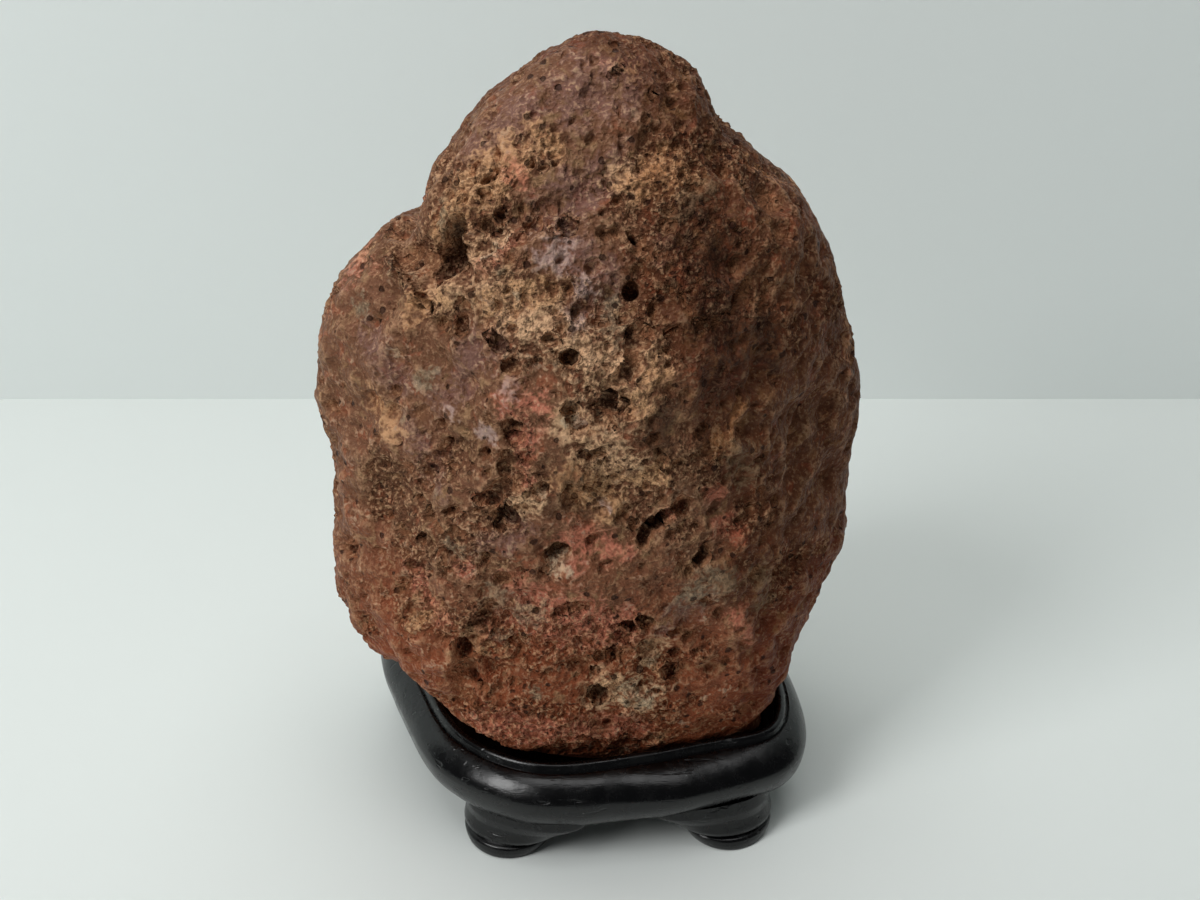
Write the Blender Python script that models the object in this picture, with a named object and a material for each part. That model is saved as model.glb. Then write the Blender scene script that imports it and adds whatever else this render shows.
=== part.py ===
"""A scholar's stone standing in its carved wooden stand.

Lengths are in millimetres until a mesh is filled: there MIDDLE is taken off, which brings the origin to the
table under the middle of the object, and MM turns them to metres. +Z is up and the front faces -Y. A bearing
is an angle from the front, positive to the right seen from the front, and a tilt is an angle above the level.
"""
import bpy
import numpy as np

MM = 0.001
MIDDLE = np.array([1.1, -0.6, 0.0])

# Driving dimensions of the stone
HEART = np.array([0.0, 0.0, 92.0])
SEAT = 15.0
HALF_DEPTH = 64.0
ROUNDNESS = 2.4
CRISPNESS = 14.0
STONE_TRIANGLES = 6600

# Driving dimensions of the stand
UNDERSIDE = 9.0
RIM_MIDDLE = 15.8
OVAL_TOP = 22.7
OVAL_INSET = 1.6
MOULDING_TOP = 22.4
MOULDING_WIDTH = 6.6
BROAD_PLACE = np.array([24, -38])
BROADER = 2.8
SLIM_PLACE = np.array([50, -6])
SLIMMER = 1.2
BROAD_SPREAD = 18.0
BEAD_TOP = 23.8
BEAD_HALF = 1.0
BEAD_FALL = 0.9
RECESS_FLOOR = 18.0
RECESS_FILLET = 0.6
POCKET_EDGE = 0.4
SEAT_GAP = 0.35
POCKET_GAP = 0.9
RIM_POINTS = 54
FOOT_POINTS = 16

# The stone's outline from the front, (x, z), anticlockwise from its right side
OUTLINE = (
    (59.5, 92), (58.5, 70), (58.0, 58), (52.0, 48), (48.2, 40), (45.3, 31), (43.2, 24), (40.9, 18), (38.6, 12),
    (10, 9), (-22, 11), (-34, 17), (-42, 27), (-52, 37), (-57.0, 47), (-56.0, 60), (-55.0, 78),
    (-57.5, 98), (-55.5, 110), (-50.0, 122.5), (-39.5, 132), (-36.0, 133.3), (-33.2, 132.8), (-30.7, 135.5),
    (-29.0, 143.5), (-23.5, 152.5), (-17.5, 159), (-8.0, 164.5), (0, 169.3), (4, 170), (12, 168), (21.5, 162),
    (26.0, 153.5), (34, 145.5), (43, 138), (49.5, 127), (54.5, 114), (58.5, 102),
)

# Flat faces that the stone was broken to: bearing, tilt, distance from the heart
FACES = (
    ("left front", -34, 6, 45),
    ("right front", 45, 4, 47),
    ("front foot", 4, -5, 42.5),
    ("lower left", -45, -42, 72),
    ("lower right", 55, -20, 73),
    ("right toe", 14, -25, 59.5),
    ("front brow", 10, 30, 52),
    ("back right", 146, 6, 43),
    ("back left", -144, -4, 44),
    ("back brow", 178, 34, 50),
    ("back foot", 180, -9, 43),
    ("back right foot", 130, -32, 70),
    ("back left foot", -130, -32, 72),
)

# Broad swells and hollows: bearing, tilt, spread, height
SWELLS = (
    ("hollow behind the shoulder", -125, 38, 18, -3.0),
    ("lower left lump", -42, -38, 9, 2.0),
    ("chest", 2, -22, 15, 1.5),
    ("right heel", 60, -50, 11, 1.6),
    ("right cheek", 40, 24, 14, 1.5),
    ("back lump", 160, -20, 17, 3.0),
    ("back hollow", -165, 10, 15, -2.5),
    ("back shoulder", 130, 35, 13, 2.0),
)

# Valleys worn along a path on the front, seen as (x, z): half width, depth, points
VALLEYS = (
    ("gully from the notch", 3.2, 4.0, ((-40, 131), (-34, 132), (-28, 136.5), (-24.5, 134), (-20, 139), (-10, 143))),
    ("cave in the gully", 3.0, 6.0, ((-25.5, 132.5), (-23.5, 135))),
    ("small cave", 1.8, 4.0, ((-17, 141.2), (-14.8, 142))),
    ("long groove", 2.0, 1.8, ((11, 124), (7.8, 118), (4.6, 113), (3.6, 108.5))),
    ("slot", 1.3, 3.5, ((11, 81), (12.2, 84), (16.2, 87.8))),
    ("upright crevice", 1.6, 2.6, ((-12.7, 104), (-13.5, 95))),
    ("left crevice", 1.4, 2.2, ((-26.6, 98.5), (-28.5, 95), (-30.9, 91))),
    ("slanting crevice", 1.4, 2.4, ((-15.4, 94), (-18.8, 89.3))),
    ("short crevice", 1.3, 2.0, ((-7.4, 94.5), (-9.8, 92.9))),
    ("level crevice", 1.3, 2.2, ((-4.3, 66.6), (0.2, 67.6))),
    ("three-cornered hole", 1.3, 3.8, ((22.0, 76.2), (23.4, 79.4))),
    ("crease of the lower lump", 2.4, 1.8, ((-22, 60), (-25, 52), (-26, 44), (-20, 36))),
    ("crack near the top", 1.2, 1.5, ((4.8, 163.0), (7.4, 165))),
)

# Pits on the front, seen as (x, z): radius, depth
PITS = (
    (-5.3, 78.4, 3.2, 2.4), (12.9, 54.6, 3.2, 1.5), (2.7, 42.0, 1.9, 3.4), (-2.3, 107.6, 2.2, 2.2),
    (2.9, 97.2, 1.6, 2.8), (-18.2, 100.4, 1.6, 2.2), (-14.7, 85.8, 1.9, 2.2), (-24.8, 82.5, 1.6, 1.6),
    (-29.9, 83.0, 2.3, 1.3), (-32.7, 77.2, 1.5, 1.4), (11.9, 64.1, 1.9, 2.0), (8.4, 61.2, 1.9, 2.0),
    (7.1, 58.8, 1.4, 1.6), (5.5, 55.5, 1.6, 1.5), (-4.3, 53.4, 1.7, 1.6), (18.4, 89.5, 1.6, 1.6),
    (20.4, 85.9, 1.4, 1.5), (20.7, 73.4, 1.5, 1.5), (26.9, 62.7, 1.6, 1.6), (21.1, 57.3, 1.5, 1.5),
    (18.6, 53.1, 1.5, 1.4), (16.9, 48.8, 1.5, 1.4), (-2.9, 119.7, 1.6, 1.8), (-16.1, 121.2, 1.6, 1.6),
    (-36.4, 113.3, 2.6, 1.2), (-49.9, 109.2, 1.5, 1.2), (-47.1, 102.7, 1.7, 1.4), (-41.0, 96.5, 1.5, 1.3),
    (14.0, 160.3, 1.4, 1.2), (18.3, 156.3, 1.6, 1.4), (10.9, 157.0, 1.5, 1.3), (-17.2, 145.7, 1.4, 1.4),
    (5.3, 168.3, 1.8, 1.8),
)

# The edge of the layer above the gully, seen as (x, z), and how far the stone above it is set back
LAYER_EDGE = ((-45, 131), (-22, 132.2), (-14.7, 138), (-4.3, 141.6), (9.8, 148.7), (26, 154))
LAYER_STEP = 2.6

# Lumpiness: cell of the noise, height, seed
LUMPS = ((27, 2.4, 3), (12, 1.5, 5), (6, 0.8, 8))

# Gas bubbles cut open in the stone's back: cell that holds one, smallest and largest radius, chance, seed
BUBBLES = (13.0, 2.4, 4.4, 0.75, 21)

# How far round the back outline is smoothed, in degrees
BACK_SMOOTHING = 13

# The stand's widest outline from above, (x, y), anticlockwise from its right end
RIM = (
    (50, -12), (48.6, 3), (46.0, 16), (39.5, 28), (27, 37), (6, 41.5), (-16, 42), (-35, 38.5), (-46.5, 30),
    (-51.8, 18), (-50.6, 8), (-46, -4), (-41.5, -14.5), (-38, -22.5), (-34.5, -29.5), (-28.2, -35.5),
    (-20.5, -39.8), (-12.2, -42.2), (-2, -42.3), (6, -41.2), (18, -40), (26, -37.8), (37.7, -33.5),
    (44.6, -29.3), (48.6, -22.5),
)

# Feet: centre (x, y), bearing it faces, and the side on which its bracket runs along the rim
FEET = ((-17.5, -30, -26, 1), (31, -27.5, 20, -1), (29, 24, 150, 1), (-34, 26.5, -148, -1))
FOOT_LONG = 10.6
FOOT_DEEP = 9.0

# A foot's outline up its height: height, share of the pad's length at its plain end, share of its depth,
# and how far the bracket reaches past the pad's other end
FOOT_STATIONS = (
    (0.0, 0.97, 0.97, -0.3), (0.5, 1.0, 1.0, 0.0), (2.5, 1.0, 1.0, 0.0), (3.1, 0.97, 0.96, -0.4),
    (3.4, 0.92, 0.89, -0.9), (4.2, 0.96, 0.94, -0.2), (5.4, 0.96, 0.94, 0.3), (6.2, 0.93, 0.88, 0.6),
    (7.4, 0.93, 0.87, 1.8), (8.4, 0.93, 0.88, 3.6), (9.6, 0.93, 0.88, 6.6), (12.0, 0.90, 0.80, 6.8),
)


def closed_curve(points, steps):
    """A closed Catmull-Rom curve: between two points, the cubic whose slope at each is half the way between
    that point's two neighbours."""
    p = np.array(points, float)
    before, after, later = np.roll(p, 1, 0), np.roll(p, -1, 0), np.roll(p, -2, 0)
    t = (np.arange(steps) / steps)[None, :, None]
    a, b, c, d = before[:, None], p[:, None], after[:, None], later[:, None]
    curve = 0.5 * (2 * b + (c - a) * t + (2 * a - 5 * b + 4 * c - d) * t ** 2 + (3 * b - a - 3 * c + d) * t ** 3)
    return curve.reshape(-1, p.shape[1])


def facing(bearing, tilt):
    """The unit direction at a bearing and a tilt."""
    a, b = np.radians(bearing), np.radians(tilt)
    return np.array([np.sin(a) * np.cos(b), -np.cos(a) * np.cos(b), np.sin(b)])


def ease(value, low, high):
    """0 below low, 1 above high, and an S-shaped rise between them."""
    t = np.clip((value - low) / (high - low), 0, 1)
    return t * t * (3 - 2 * t)


def gradient_noise(points, cell, seed):
    """Every corner of a cubic lattice holds a slope drawn at random; a point blends the eight around it."""
    draw = np.random.default_rng(seed)
    slopes = draw.normal(size=(256, 3))
    slopes /= np.linalg.norm(slopes, axis=1)[:, None]
    order = draw.permutation(256)
    place = points / cell
    corner = np.floor(place).astype(int)
    inside = place - corner
    blend = inside ** 3 * (inside * (inside * 6 - 15) + 10)
    total = np.zeros(len(points))
    for step in np.ndindex(2, 2, 2):
        at = (corner + step) % 256
        slope = slopes[order[(order[(order[at[:, 0]] + at[:, 1]) % 256] + at[:, 2]) % 256]]
        weight = np.prod(np.where(step, blend, 1 - blend), axis=1)
        total += weight * np.sum(slope * (inside - step), axis=1)
    return total


def outline_reach(turned, behind):
    """Distance from the heart to the outline at an angle turned up from the right.

    Where behind rises from 0 to 1, the outline gives way to its own average over BACK_SMOOTHING either side."""
    outline = closed_curve(OUTLINE, 24) - HEART[[0, 2]]
    angle = np.arctan2(outline[:, 1], outline[:, 0])
    order = np.argsort(angle)
    whole = np.radians(np.arange(-180, 180))
    reach = np.interp(whole, angle[order], np.hypot(*outline.T)[order], period=2 * np.pi)
    soft = np.mean([np.roll(reach, shift) for shift in range(-BACK_SMOOTHING, BACK_SMOOTHING + 1)], axis=0)
    sharp = np.interp(turned, angle[order], np.hypot(*outline.T)[order], period=2 * np.pi)
    return sharp + behind * (np.interp(turned, whole, soft, period=2 * np.pi) - sharp)


def block_reach(ways):
    """Distance from the heart to the plain block in each direction.

    The outline, swelled to HALF_DEPTH front and back, gives a pillow; each flat face then limits it. Limits are
    joined by a power sum, r = (sum of limit ** -p) ** (-1 / p), which rounds the edges where they meet."""
    rim = outline_reach(np.arctan2(ways[:, 2], ways[:, 0]), ease(ways[:, 1], 0.12, 0.5))
    side = np.hypot(ways[:, 0], ways[:, 2])
    pillow = (side / rim) ** ROUNDNESS + (np.abs(ways[:, 1]) / HALF_DEPTH) ** ROUNDNESS
    total = pillow ** (CRISPNESS / ROUNDNESS)
    for _, bearing, tilt, distance in FACES:
        total += (np.clip(ways @ facing(bearing, tilt), 0, None) / distance) ** CRISPNESS
    return total ** (-1 / CRISPNESS)


def stone_reach(ways):
    """The block's reach with each broad swell added as height * exp(-(distance / spread) ** 2)."""
    block = block_reach(ways)
    points = block[:, None] * ways
    reach = block.copy()
    for _, bearing, tilt, spread, height in SWELLS:
        way = facing(bearing, tilt)[None, :]
        centre = block_reach(way)[:, None] * way
        reach += height * np.exp(-np.sum((points - centre) ** 2, axis=1) / spread ** 2)
    return reach


def slide_in(start, end):
    """The points where lines from start to end first meet the stone, by halving the step 24 times."""
    outside, inside = start.astype(float), end.astype(float)
    for _ in range(24):
        middle = (outside + inside) / 2
        arm = middle - HEART
        length = np.linalg.norm(arm, axis=1)
        within = (length < stone_reach(arm / length[:, None]))[:, None]
        inside, outside = np.where(within, middle, inside), np.where(within, outside, middle)
    return (outside + inside) / 2


def front_points(seen):
    """The stone's points that are seen from the front at each (x, z)."""
    seen = np.array(seen, float)
    start = np.stack([seen[:, 0], np.full(len(seen), -HALF_DEPTH), seen[:, 1]], axis=1)
    end = start.copy()
    end[:, 1] = 0
    return slide_in(start, end)


def distance_to_path(points, path):
    """Distance from each point to a path of straight runs."""
    nearest = np.full(len(points), np.inf)
    for a, b in zip(path[:-1], path[1:]):
        run = b - a
        share = np.clip((points - a) @ run / (run @ run), 0, 1)
        nearest = np.minimum(nearest, np.linalg.norm(points - a - share[:, None] * run, axis=1))
    return nearest


def bubble_depth(points, normals, cell, smallest, largest, chance, seed):
    """How deep the surface sinks into gas bubbles. Space is cut in cubic cells, and each holds one bubble, or
    none, at a random place in it. A point inside a bubble of radius r sinks along its normal to the bubble's far
    wall, by h + sqrt(h ** 2 + r ** 2 - |v| ** 2): v runs from the bubble's centre to the point, h is its part
    along the normal. The rim is rounded over the outer fifth of the bubble."""
    draw = np.random.default_rng(seed)
    place = draw.random((1024, 3))
    radius = smallest + (largest - smallest) * draw.random(1024) ** 2
    radius[draw.random(1024) > chance] = 0
    home = np.floor(points / cell).astype(int)
    deepest = np.zeros(len(points))
    for step in np.ndindex(3, 3, 3):
        at = home + step - 1
        row = (at[:, 0] * 73 + at[:, 1] * 179 + at[:, 2] * 283) % 1024
        away = points - (at + place[row]) * cell
        along = np.sum(away * normals, axis=1)
        inside = np.clip(radius[row] ** 2 - np.sum(away ** 2, axis=1), 0, None)
        rounded = np.sqrt(np.clip(inside / np.maximum(0.36 * radius[row] ** 2, 1e-9), 0, 1))
        deepest = np.maximum(deepest, rounded * np.clip(along + np.sqrt(along ** 2 + inside), 0, radius[row]))
    return deepest


def relief(points, normals):
    """How far the stone's surface stands out from its broad form: lumps, the layer's step, bubbles, valleys and
    pits. A valley or a pit of half width w is depth * (1 - (distance / w) ** 2) ** 1.5 deep inside w * 1.5."""
    height = np.zeros(len(points))
    off_outline = 0.45 + 0.55 * ease(np.abs(points[:, 1]), 4, 22)
    for cell, amount, seed in LUMPS:
        height += off_outline * amount * gradient_noise(points, cell, seed)
    edge = np.array(LAYER_EDGE, float)
    above = points[:, 2] - np.interp(points[:, 0], edge[:, 0], edge[:, 1])
    on_front = ease(-points[:, 1], 6, 20)
    height -= on_front * LAYER_STEP * ease(above, -1, 2.5) * np.exp(-np.clip(above, 0, None) / 16)
    height -= ease(points[:, 1], -16, -4) * bubble_depth(points, normals, *BUBBLES)
    for _, half, depth, path in VALLEYS:
        away = distance_to_path(points, front_points(path)) / (1.5 * half)
        height -= depth * np.clip(1 - away ** 2, 0, None) ** 1.5
    centres = front_points([pit[:2] for pit in PITS])
    for centre, (_, _, radius, depth) in zip(centres, PITS):
        away = np.linalg.norm(points - centre, axis=1) / (1.25 * radius)
        height -= depth * np.clip(1 - away ** 2, 0, None) ** 1.5
    return height * ease(points[:, 2], SEAT + 3, SEAT + 10)


def finish(thing, collection, colour, roughness):
    """Gives an object its own material and moves it to its collection."""
    material = bpy.data.materials.new(thing.name)
    material.use_nodes = True
    shader = material.node_tree.nodes["Principled BSDF"]
    shader.inputs["Base Color"].default_value = (*colour, 1)
    shader.inputs["Roughness"].default_value = roughness
    thing.data.materials.append(material)
    for holder in list(thing.users_collection):
        holder.objects.unlink(thing)
    collection.objects.link(thing)


def make_stone():
    """The stone: a fine ball moved out to the broad form, then by the relief along its own normals, then
    thinned to STONE_TRIANGLES where it is smooth."""
    bpy.ops.mesh.primitive_ico_sphere_add(subdivisions=7, radius=1)
    stone = bpy.context.object
    stone.name = "stone"
    mesh = stone.data
    flat = np.empty(3 * len(mesh.vertices))
    mesh.vertices.foreach_get("co", flat)
    ways = flat.reshape(-1, 3) / np.linalg.norm(flat.reshape(-1, 3), axis=1)[:, None]
    points = HEART + stone_reach(ways)[:, None] * ways
    mesh.vertices.foreach_set("co", points.ravel())
    mesh.update()
    mesh.vertex_normals.foreach_get("vector", flat)
    normals = flat.reshape(-1, 3)
    points += relief(points, normals)[:, None] * normals
    points[:, 2] = np.maximum(points[:, 2], SEAT)
    mesh.vertices.foreach_set("co", ((points - MIDDLE) * MM).ravel())
    mesh.update()
    mesh.shade_smooth()
    thin = stone.modifiers.new("thin", "DECIMATE")
    thin.ratio = STONE_TRIANGLES / len(mesh.polygons)
    thin.use_collapse_triangulate = True
    return stone


def ring_faces(rings, count):
    """Quads between neighbouring rings of count points, closed round each ring."""
    index = np.arange(rings * count).reshape(rings, count)
    after = np.roll(index, -1, axis=1)
    return np.stack([index[:-1], after[:-1], after[1:], index[1:]], axis=-1).reshape(-1, 4)


def loft(name, rings):
    """An object from a stack of rings, bottom ring first, each end closed by one flat face."""
    count = rings.shape[1]
    faces = ring_faces(len(rings), count).tolist()
    faces.append(list(range(count))[::-1])
    faces.append(list(range(count * (len(rings) - 1), count * len(rings))))
    mesh = bpy.data.meshes.new(name)
    mesh.from_pydata(((rings.reshape(-1, 3) - MIDDLE) * MM).tolist(), [], faces)
    mesh.update()
    thing = bpy.data.objects.new(name, mesh)
    bpy.context.scene.collection.objects.link(thing)
    return thing


def rim_points(count):
    """The stand's widest outline at equal steps, and the direction square to it, inwards."""
    curve = closed_curve(RIM, 24)
    lengths = np.linalg.norm(np.roll(curve, -1, 0) - curve, axis=1)
    along = np.concatenate([[0], np.cumsum(lengths)])
    closed = np.vstack([curve, curve[:1]])
    at = np.linspace(0, along[-1], count, endpoint=False)
    points = np.stack([np.interp(at, along, closed[:, k]) for k in (0, 1)], axis=1)
    tangent = np.roll(points, -1, 0) - np.roll(points, 1, 0)
    tangent /= np.linalg.norm(tangent, axis=1)[:, None]
    return points, np.stack([-tangent[:, 1], tangent[:, 0]], axis=1)


def moulding_width(points):
    """Width of the moulding from its widest line to the bead: broader at the front right, slimmer at the end."""
    from_broad = np.linalg.norm(points - BROAD_PLACE, axis=1) / BROAD_SPREAD
    from_slim = np.linalg.norm(points - SLIM_PLACE, axis=1) / BROAD_SPREAD
    return MOULDING_WIDTH + BROADER * np.exp(-from_broad ** 2) - SLIMMER * np.exp(-from_slim ** 2)


def stone_ring(directions, height, gap):
    """The stone's level outline at a height, in each direction from the middle, moved out by a gap."""
    centre = np.column_stack([np.zeros((len(directions), 2)), np.full(len(directions), height)])
    far = centre + 90 * np.column_stack([directions, np.zeros(len(directions))])
    ring = slide_in(far, centre)
    ring[:, :2] += gap * directions
    return ring


def stand_rings():
    """The stand's rings, from the middle of its underside, out round the moulding, over the bead, down into
    the recess and the pocket under the stone. The moulding is half an oval: in = w (1 - cos a), up = h sin a."""
    rim, inward = rim_points(RIM_POINTS)
    width = moulding_width(rim)

    def ring(offset, height):
        return np.column_stack([rim + offset[:, None] * inward, np.full(len(rim), height)])

    rings = []
    for angle in np.radians((-90, -60, -30, 0, 30, 60)):
        drop = RIM_MIDDLE - UNDERSIDE if angle < 0 else OVAL_TOP - RIM_MIDDLE
        rings.append(ring((width - OVAL_INSET) * (1 - np.cos(angle)), RIM_MIDDLE + drop * np.sin(angle)))
    rings.append(ring(width - 1.5 * BEAD_HALF, MOULDING_TOP))
    for turn in (-0.8, 0, 0.8):
        rings.append(ring(width + turn * BEAD_HALF, BEAD_TOP - BEAD_FALL * turn ** 2))
    rings.append(ring(width + 1.5 * BEAD_HALF, RECESS_FLOOR + RECESS_FILLET))
    directions = rings[-1][:, :2] / np.linalg.norm(rings[-1][:, :2], axis=1)[:, None]
    rings.append(ring(width + 2.2 * BEAD_HALF, RECESS_FLOOR))
    rings.append(stone_ring(directions, RECESS_FLOOR - POCKET_EDGE, POCKET_GAP))
    base = stone_ring(directions, SEAT + 0.2, POCKET_GAP)
    base[:, 2] = SEAT - SEAT_GAP
    rings.append(base)
    return np.array(rings)


def foot_rings(x, y, bearing, side):
    """A foot's rings: ovals whose one half grows, going up, into the bracket that runs along the rim."""
    turn = np.linspace(0, 2 * np.pi, FOOT_POINTS, endpoint=False)
    out = facing(bearing, 0)[:2]
    along = side * np.array([-out[1], out[0]])
    rings = []
    for height, plain, deep, bracket in FOOT_STATIONS:
        long = np.where(np.cos(turn) > 0, FOOT_LONG + bracket, FOOT_LONG * plain)
        flat = (long * np.cos(turn))[:, None] * along + (FOOT_DEEP * deep * np.sin(turn))[:, None] * out
        rings.append(np.column_stack([flat + (x, y), np.full(FOOT_POINTS, height)]))
    return np.array(rings)[:, ::-side]


def make_stand(cutters):
    """The stand: the moulded body, with the four feet joined to it."""
    stand = loft("stand", stand_rings())
    for number, foot in enumerate(FEET):
        piece = loft(f"foot_{number + 1}", foot_rings(*foot))
        bpy.context.scene.collection.objects.unlink(piece)
        cutters.objects.link(piece)
        piece.hide_render = True
        piece.display_type = "WIRE"
        join = stand.modifiers.new(f"join foot {number + 1}", "BOOLEAN")
        join.operation = "UNION"
        join.object = piece
    stand.data.shade_smooth()
    stand.data.set_sharp_from_angle(angle=np.radians(50))
    return stand


for old in list(bpy.data.objects):
    bpy.data.objects.remove(old)
parts_collection = bpy.data.collections.new("scholars_rock")
cutter_collection = bpy.data.collections.new("joined_shapes")
bpy.context.scene.collection.children.link(parts_collection)
bpy.context.scene.collection.children.link(cutter_collection)
finish(make_stone(), parts_collection, (0.16, 0.07, 0.045), 0.75)
finish(make_stand(cutter_collection), parts_collection, (0.012, 0.012, 0.014), 0.28)
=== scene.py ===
# %% [markdown]
# # A scholar's stone on its carved stand
#
# A scholar's stone is a natural rock that someone liked the look of, set upright on a stand carved to fit
# its foot. This lesson builds both as surfaces worked out with numpy: a shape is a formula of two
# parameters, worked out for a whole grid of points at once and then put into a mesh. The solids that carry
# weight and collide are loaded first, and each finished piece takes the place of the solid with the same
# main shape.

import math

import bpy
import numpy as np
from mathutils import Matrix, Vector


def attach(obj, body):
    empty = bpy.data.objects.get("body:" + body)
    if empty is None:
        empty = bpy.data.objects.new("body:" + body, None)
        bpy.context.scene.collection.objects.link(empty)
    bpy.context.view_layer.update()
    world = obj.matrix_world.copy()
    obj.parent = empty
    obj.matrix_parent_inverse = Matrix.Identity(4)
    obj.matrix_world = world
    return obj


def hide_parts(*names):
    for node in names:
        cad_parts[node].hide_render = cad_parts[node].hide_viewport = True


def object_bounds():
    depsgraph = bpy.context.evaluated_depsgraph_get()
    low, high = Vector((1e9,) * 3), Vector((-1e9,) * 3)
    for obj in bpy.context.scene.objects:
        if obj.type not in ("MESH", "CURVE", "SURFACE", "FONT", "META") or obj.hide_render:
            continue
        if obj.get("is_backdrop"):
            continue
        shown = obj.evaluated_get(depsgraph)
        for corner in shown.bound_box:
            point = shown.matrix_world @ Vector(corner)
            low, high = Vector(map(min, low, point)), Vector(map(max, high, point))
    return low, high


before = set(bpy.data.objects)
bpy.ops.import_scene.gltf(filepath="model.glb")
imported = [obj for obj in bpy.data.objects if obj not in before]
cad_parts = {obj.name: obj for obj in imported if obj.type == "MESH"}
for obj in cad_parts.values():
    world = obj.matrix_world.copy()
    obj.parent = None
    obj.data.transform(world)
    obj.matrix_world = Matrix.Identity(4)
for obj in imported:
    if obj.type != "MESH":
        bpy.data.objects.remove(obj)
cad_low, cad_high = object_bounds()
cad_size = [round(1000 * (b - a), 1) for a, b in zip(cad_low, cad_high)]
print("solids:", sorted(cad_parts), "box in mm:", cad_size)

# %% [markdown]
# ## Units and small tools
#
# Every number below is in millimetres, measured from a point on the table. `MIDDLE` is taken off when a
# mesh is filled, which puts the origin under the middle of the whole object. A bearing is an angle from
# the front, positive to the right as seen from the front, and a tilt is an angle above the level.
#
# The small tools are the usual ones for natural shapes: an S-shaped `ease`, a smooth closed curve through
# a few points, a running average, and gradient noise, which is the lumpy randomness that rock, wood and
# clouds share.

# %% Small tools
MM = 0.001
MIDDLE = np.array([1.1, -0.6, 0.0])


def ease(value, low, high):
    """0 at low, 1 at high, and 3 t^2 - 2 t^3 between them. low may be above high."""
    t = np.clip((value - low) / (high - low), 0, 1)
    return t * t * (3 - 2 * t)


def facing(bearing, tilt):
    """The unit direction at a bearing and a tilt: (sin b cos t, -cos b cos t, sin t)."""
    b, t = np.radians(bearing), np.radians(tilt)
    return np.array([np.sin(b) * np.cos(t), -np.cos(b) * np.cos(t), np.sin(t)])


def closed_curve(points, steps):
    """A closed Catmull-Rom curve: between two points, the cubic whose slope at each is half the way
    between that point's two neighbours."""
    p = np.array(points, float)
    before, after, later = np.roll(p, 1, 0), np.roll(p, -1, 0), np.roll(p, -2, 0)
    t = (np.arange(steps) / steps)[None, :, None]
    a, b, c, d = before[:, None], p[:, None], after[:, None], later[:, None]
    square = (2 * a - 5 * b + 4 * c - d) * t ** 2
    cube = (3 * b - a - 3 * c + d) * t ** 3
    curve = 0.5 * (2 * b + (c - a) * t + square + cube)
    return curve.reshape(-1, p.shape[1])


def averaged(values, reach, axis=0):
    """Each value of a closed row as the average of itself and of reach neighbours on either side."""
    return np.mean([np.roll(values, shift, axis) for shift in range(-reach, reach + 1)], axis=0)


def gradient_noise(points, cell, seed):
    """Lumps about one cell across, from about -0.6 to 0.6. Every corner of a cubic lattice holds a slope
    drawn at random, and a point blends the heights of the eight slopes around it by
    6 t^5 - 15 t^4 + 10 t^3."""
    draw = np.random.default_rng(seed)
    slopes = draw.normal(size=(256, 3))
    slopes /= np.linalg.norm(slopes, axis=1)[:, None]
    order = draw.permutation(256)
    place = points / cell
    corner = np.floor(place).astype(int)
    inside = place - corner
    blend = inside ** 3 * (inside * (inside * 6 - 15) + 10)
    total = np.zeros(len(points))
    for step in np.ndindex(2, 2, 2):
        at = (corner + step) % 256
        slope = slopes[order[(order[(order[at[:, 0]] + at[:, 1]) % 256] + at[:, 2]) % 256]]
        total += np.prod(np.where(step, blend, 1 - blend), axis=1) * np.sum(slope * (inside - step), axis=1)
    return total


# %% [markdown]
# ## The stone's broad form
#
# The rock is one block: an outline that is wide at the middle and pointed above, two broad planes that
# meet in a ridge down the front, and a flat seat. A sculptor would saw the outline first and then knock
# off flat faces. The formula does the same. In every direction from a point in the stone's heart it gives
# the distance to the surface: the outline swelled front and back into a pillow, limited by each flat face,
# with a power sum that rounds the edges where two limits meet.

# %% The block: outline, faces and swells
# Place of the stone's heart, height of its flat seat, and half depth of the pillow
HEART = np.array([0.0, 0.0, 92.0])
SEAT = 15.0
HALF_DEPTH = 64.0

# Powers: how square the pillow is, and how crisp the edges between two limits are
ROUNDNESS = 2.4
CRISPNESS = 14.0

# Degrees to either side over which the back averages the outline
BACK_SMOOTHING = 13

# Outline from the front, (x, z), anticlockwise from the right side
OUTLINE = (
    (59.5, 92), (58.5, 70), (58.6, 61), (56.8, 57), (51.6, 49.3), (50.0, 46.5), (47.6, 40), (45.0, 31),
    (43.2, 24), (40.9, 18), (38.6, 12), (10, 9), (-22, 11), (-34, 17), (-42, 27), (-52, 37), (-57.0, 47),
    (-56.0, 60), (-55.0, 78), (-57.5, 98), (-55.5, 110), (-50.0, 122.5), (-41.0, 131.2), (-37.5, 132.4),
    (-35.2, 131.4), (-33.4, 134.4), (-30.6, 143.5), (-24.2, 152.5), (-17.5, 159), (-9.0, 165.5),
    (-1, 169.5), (4, 170), (12, 168.4), (21.5, 162), (26.0, 153.5), (34, 145.5), (43, 138), (49.5, 127),
    (54.5, 114), (58.5, 102),
)

# Flat faces: name, bearing, tilt, distance from the heart
FACES = (
    ("left front", -34, 6, 45), ("right front", 45, 4, 47), ("front foot", 4, -5, 42.5),
    ("lower left", -45, -42, 72), ("lower right", 55, -20, 73), ("right toe", 14, -25, 59.5),
    ("front brow", 10, 30, 52), ("back right", 146, 6, 43), ("back left", -144, -4, 44),
    ("back brow", 178, 34, 50), ("back foot", 180, -9, 43), ("back right foot", 130, -32, 70),
    ("back left foot", -130, -32, 72),
)

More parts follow.
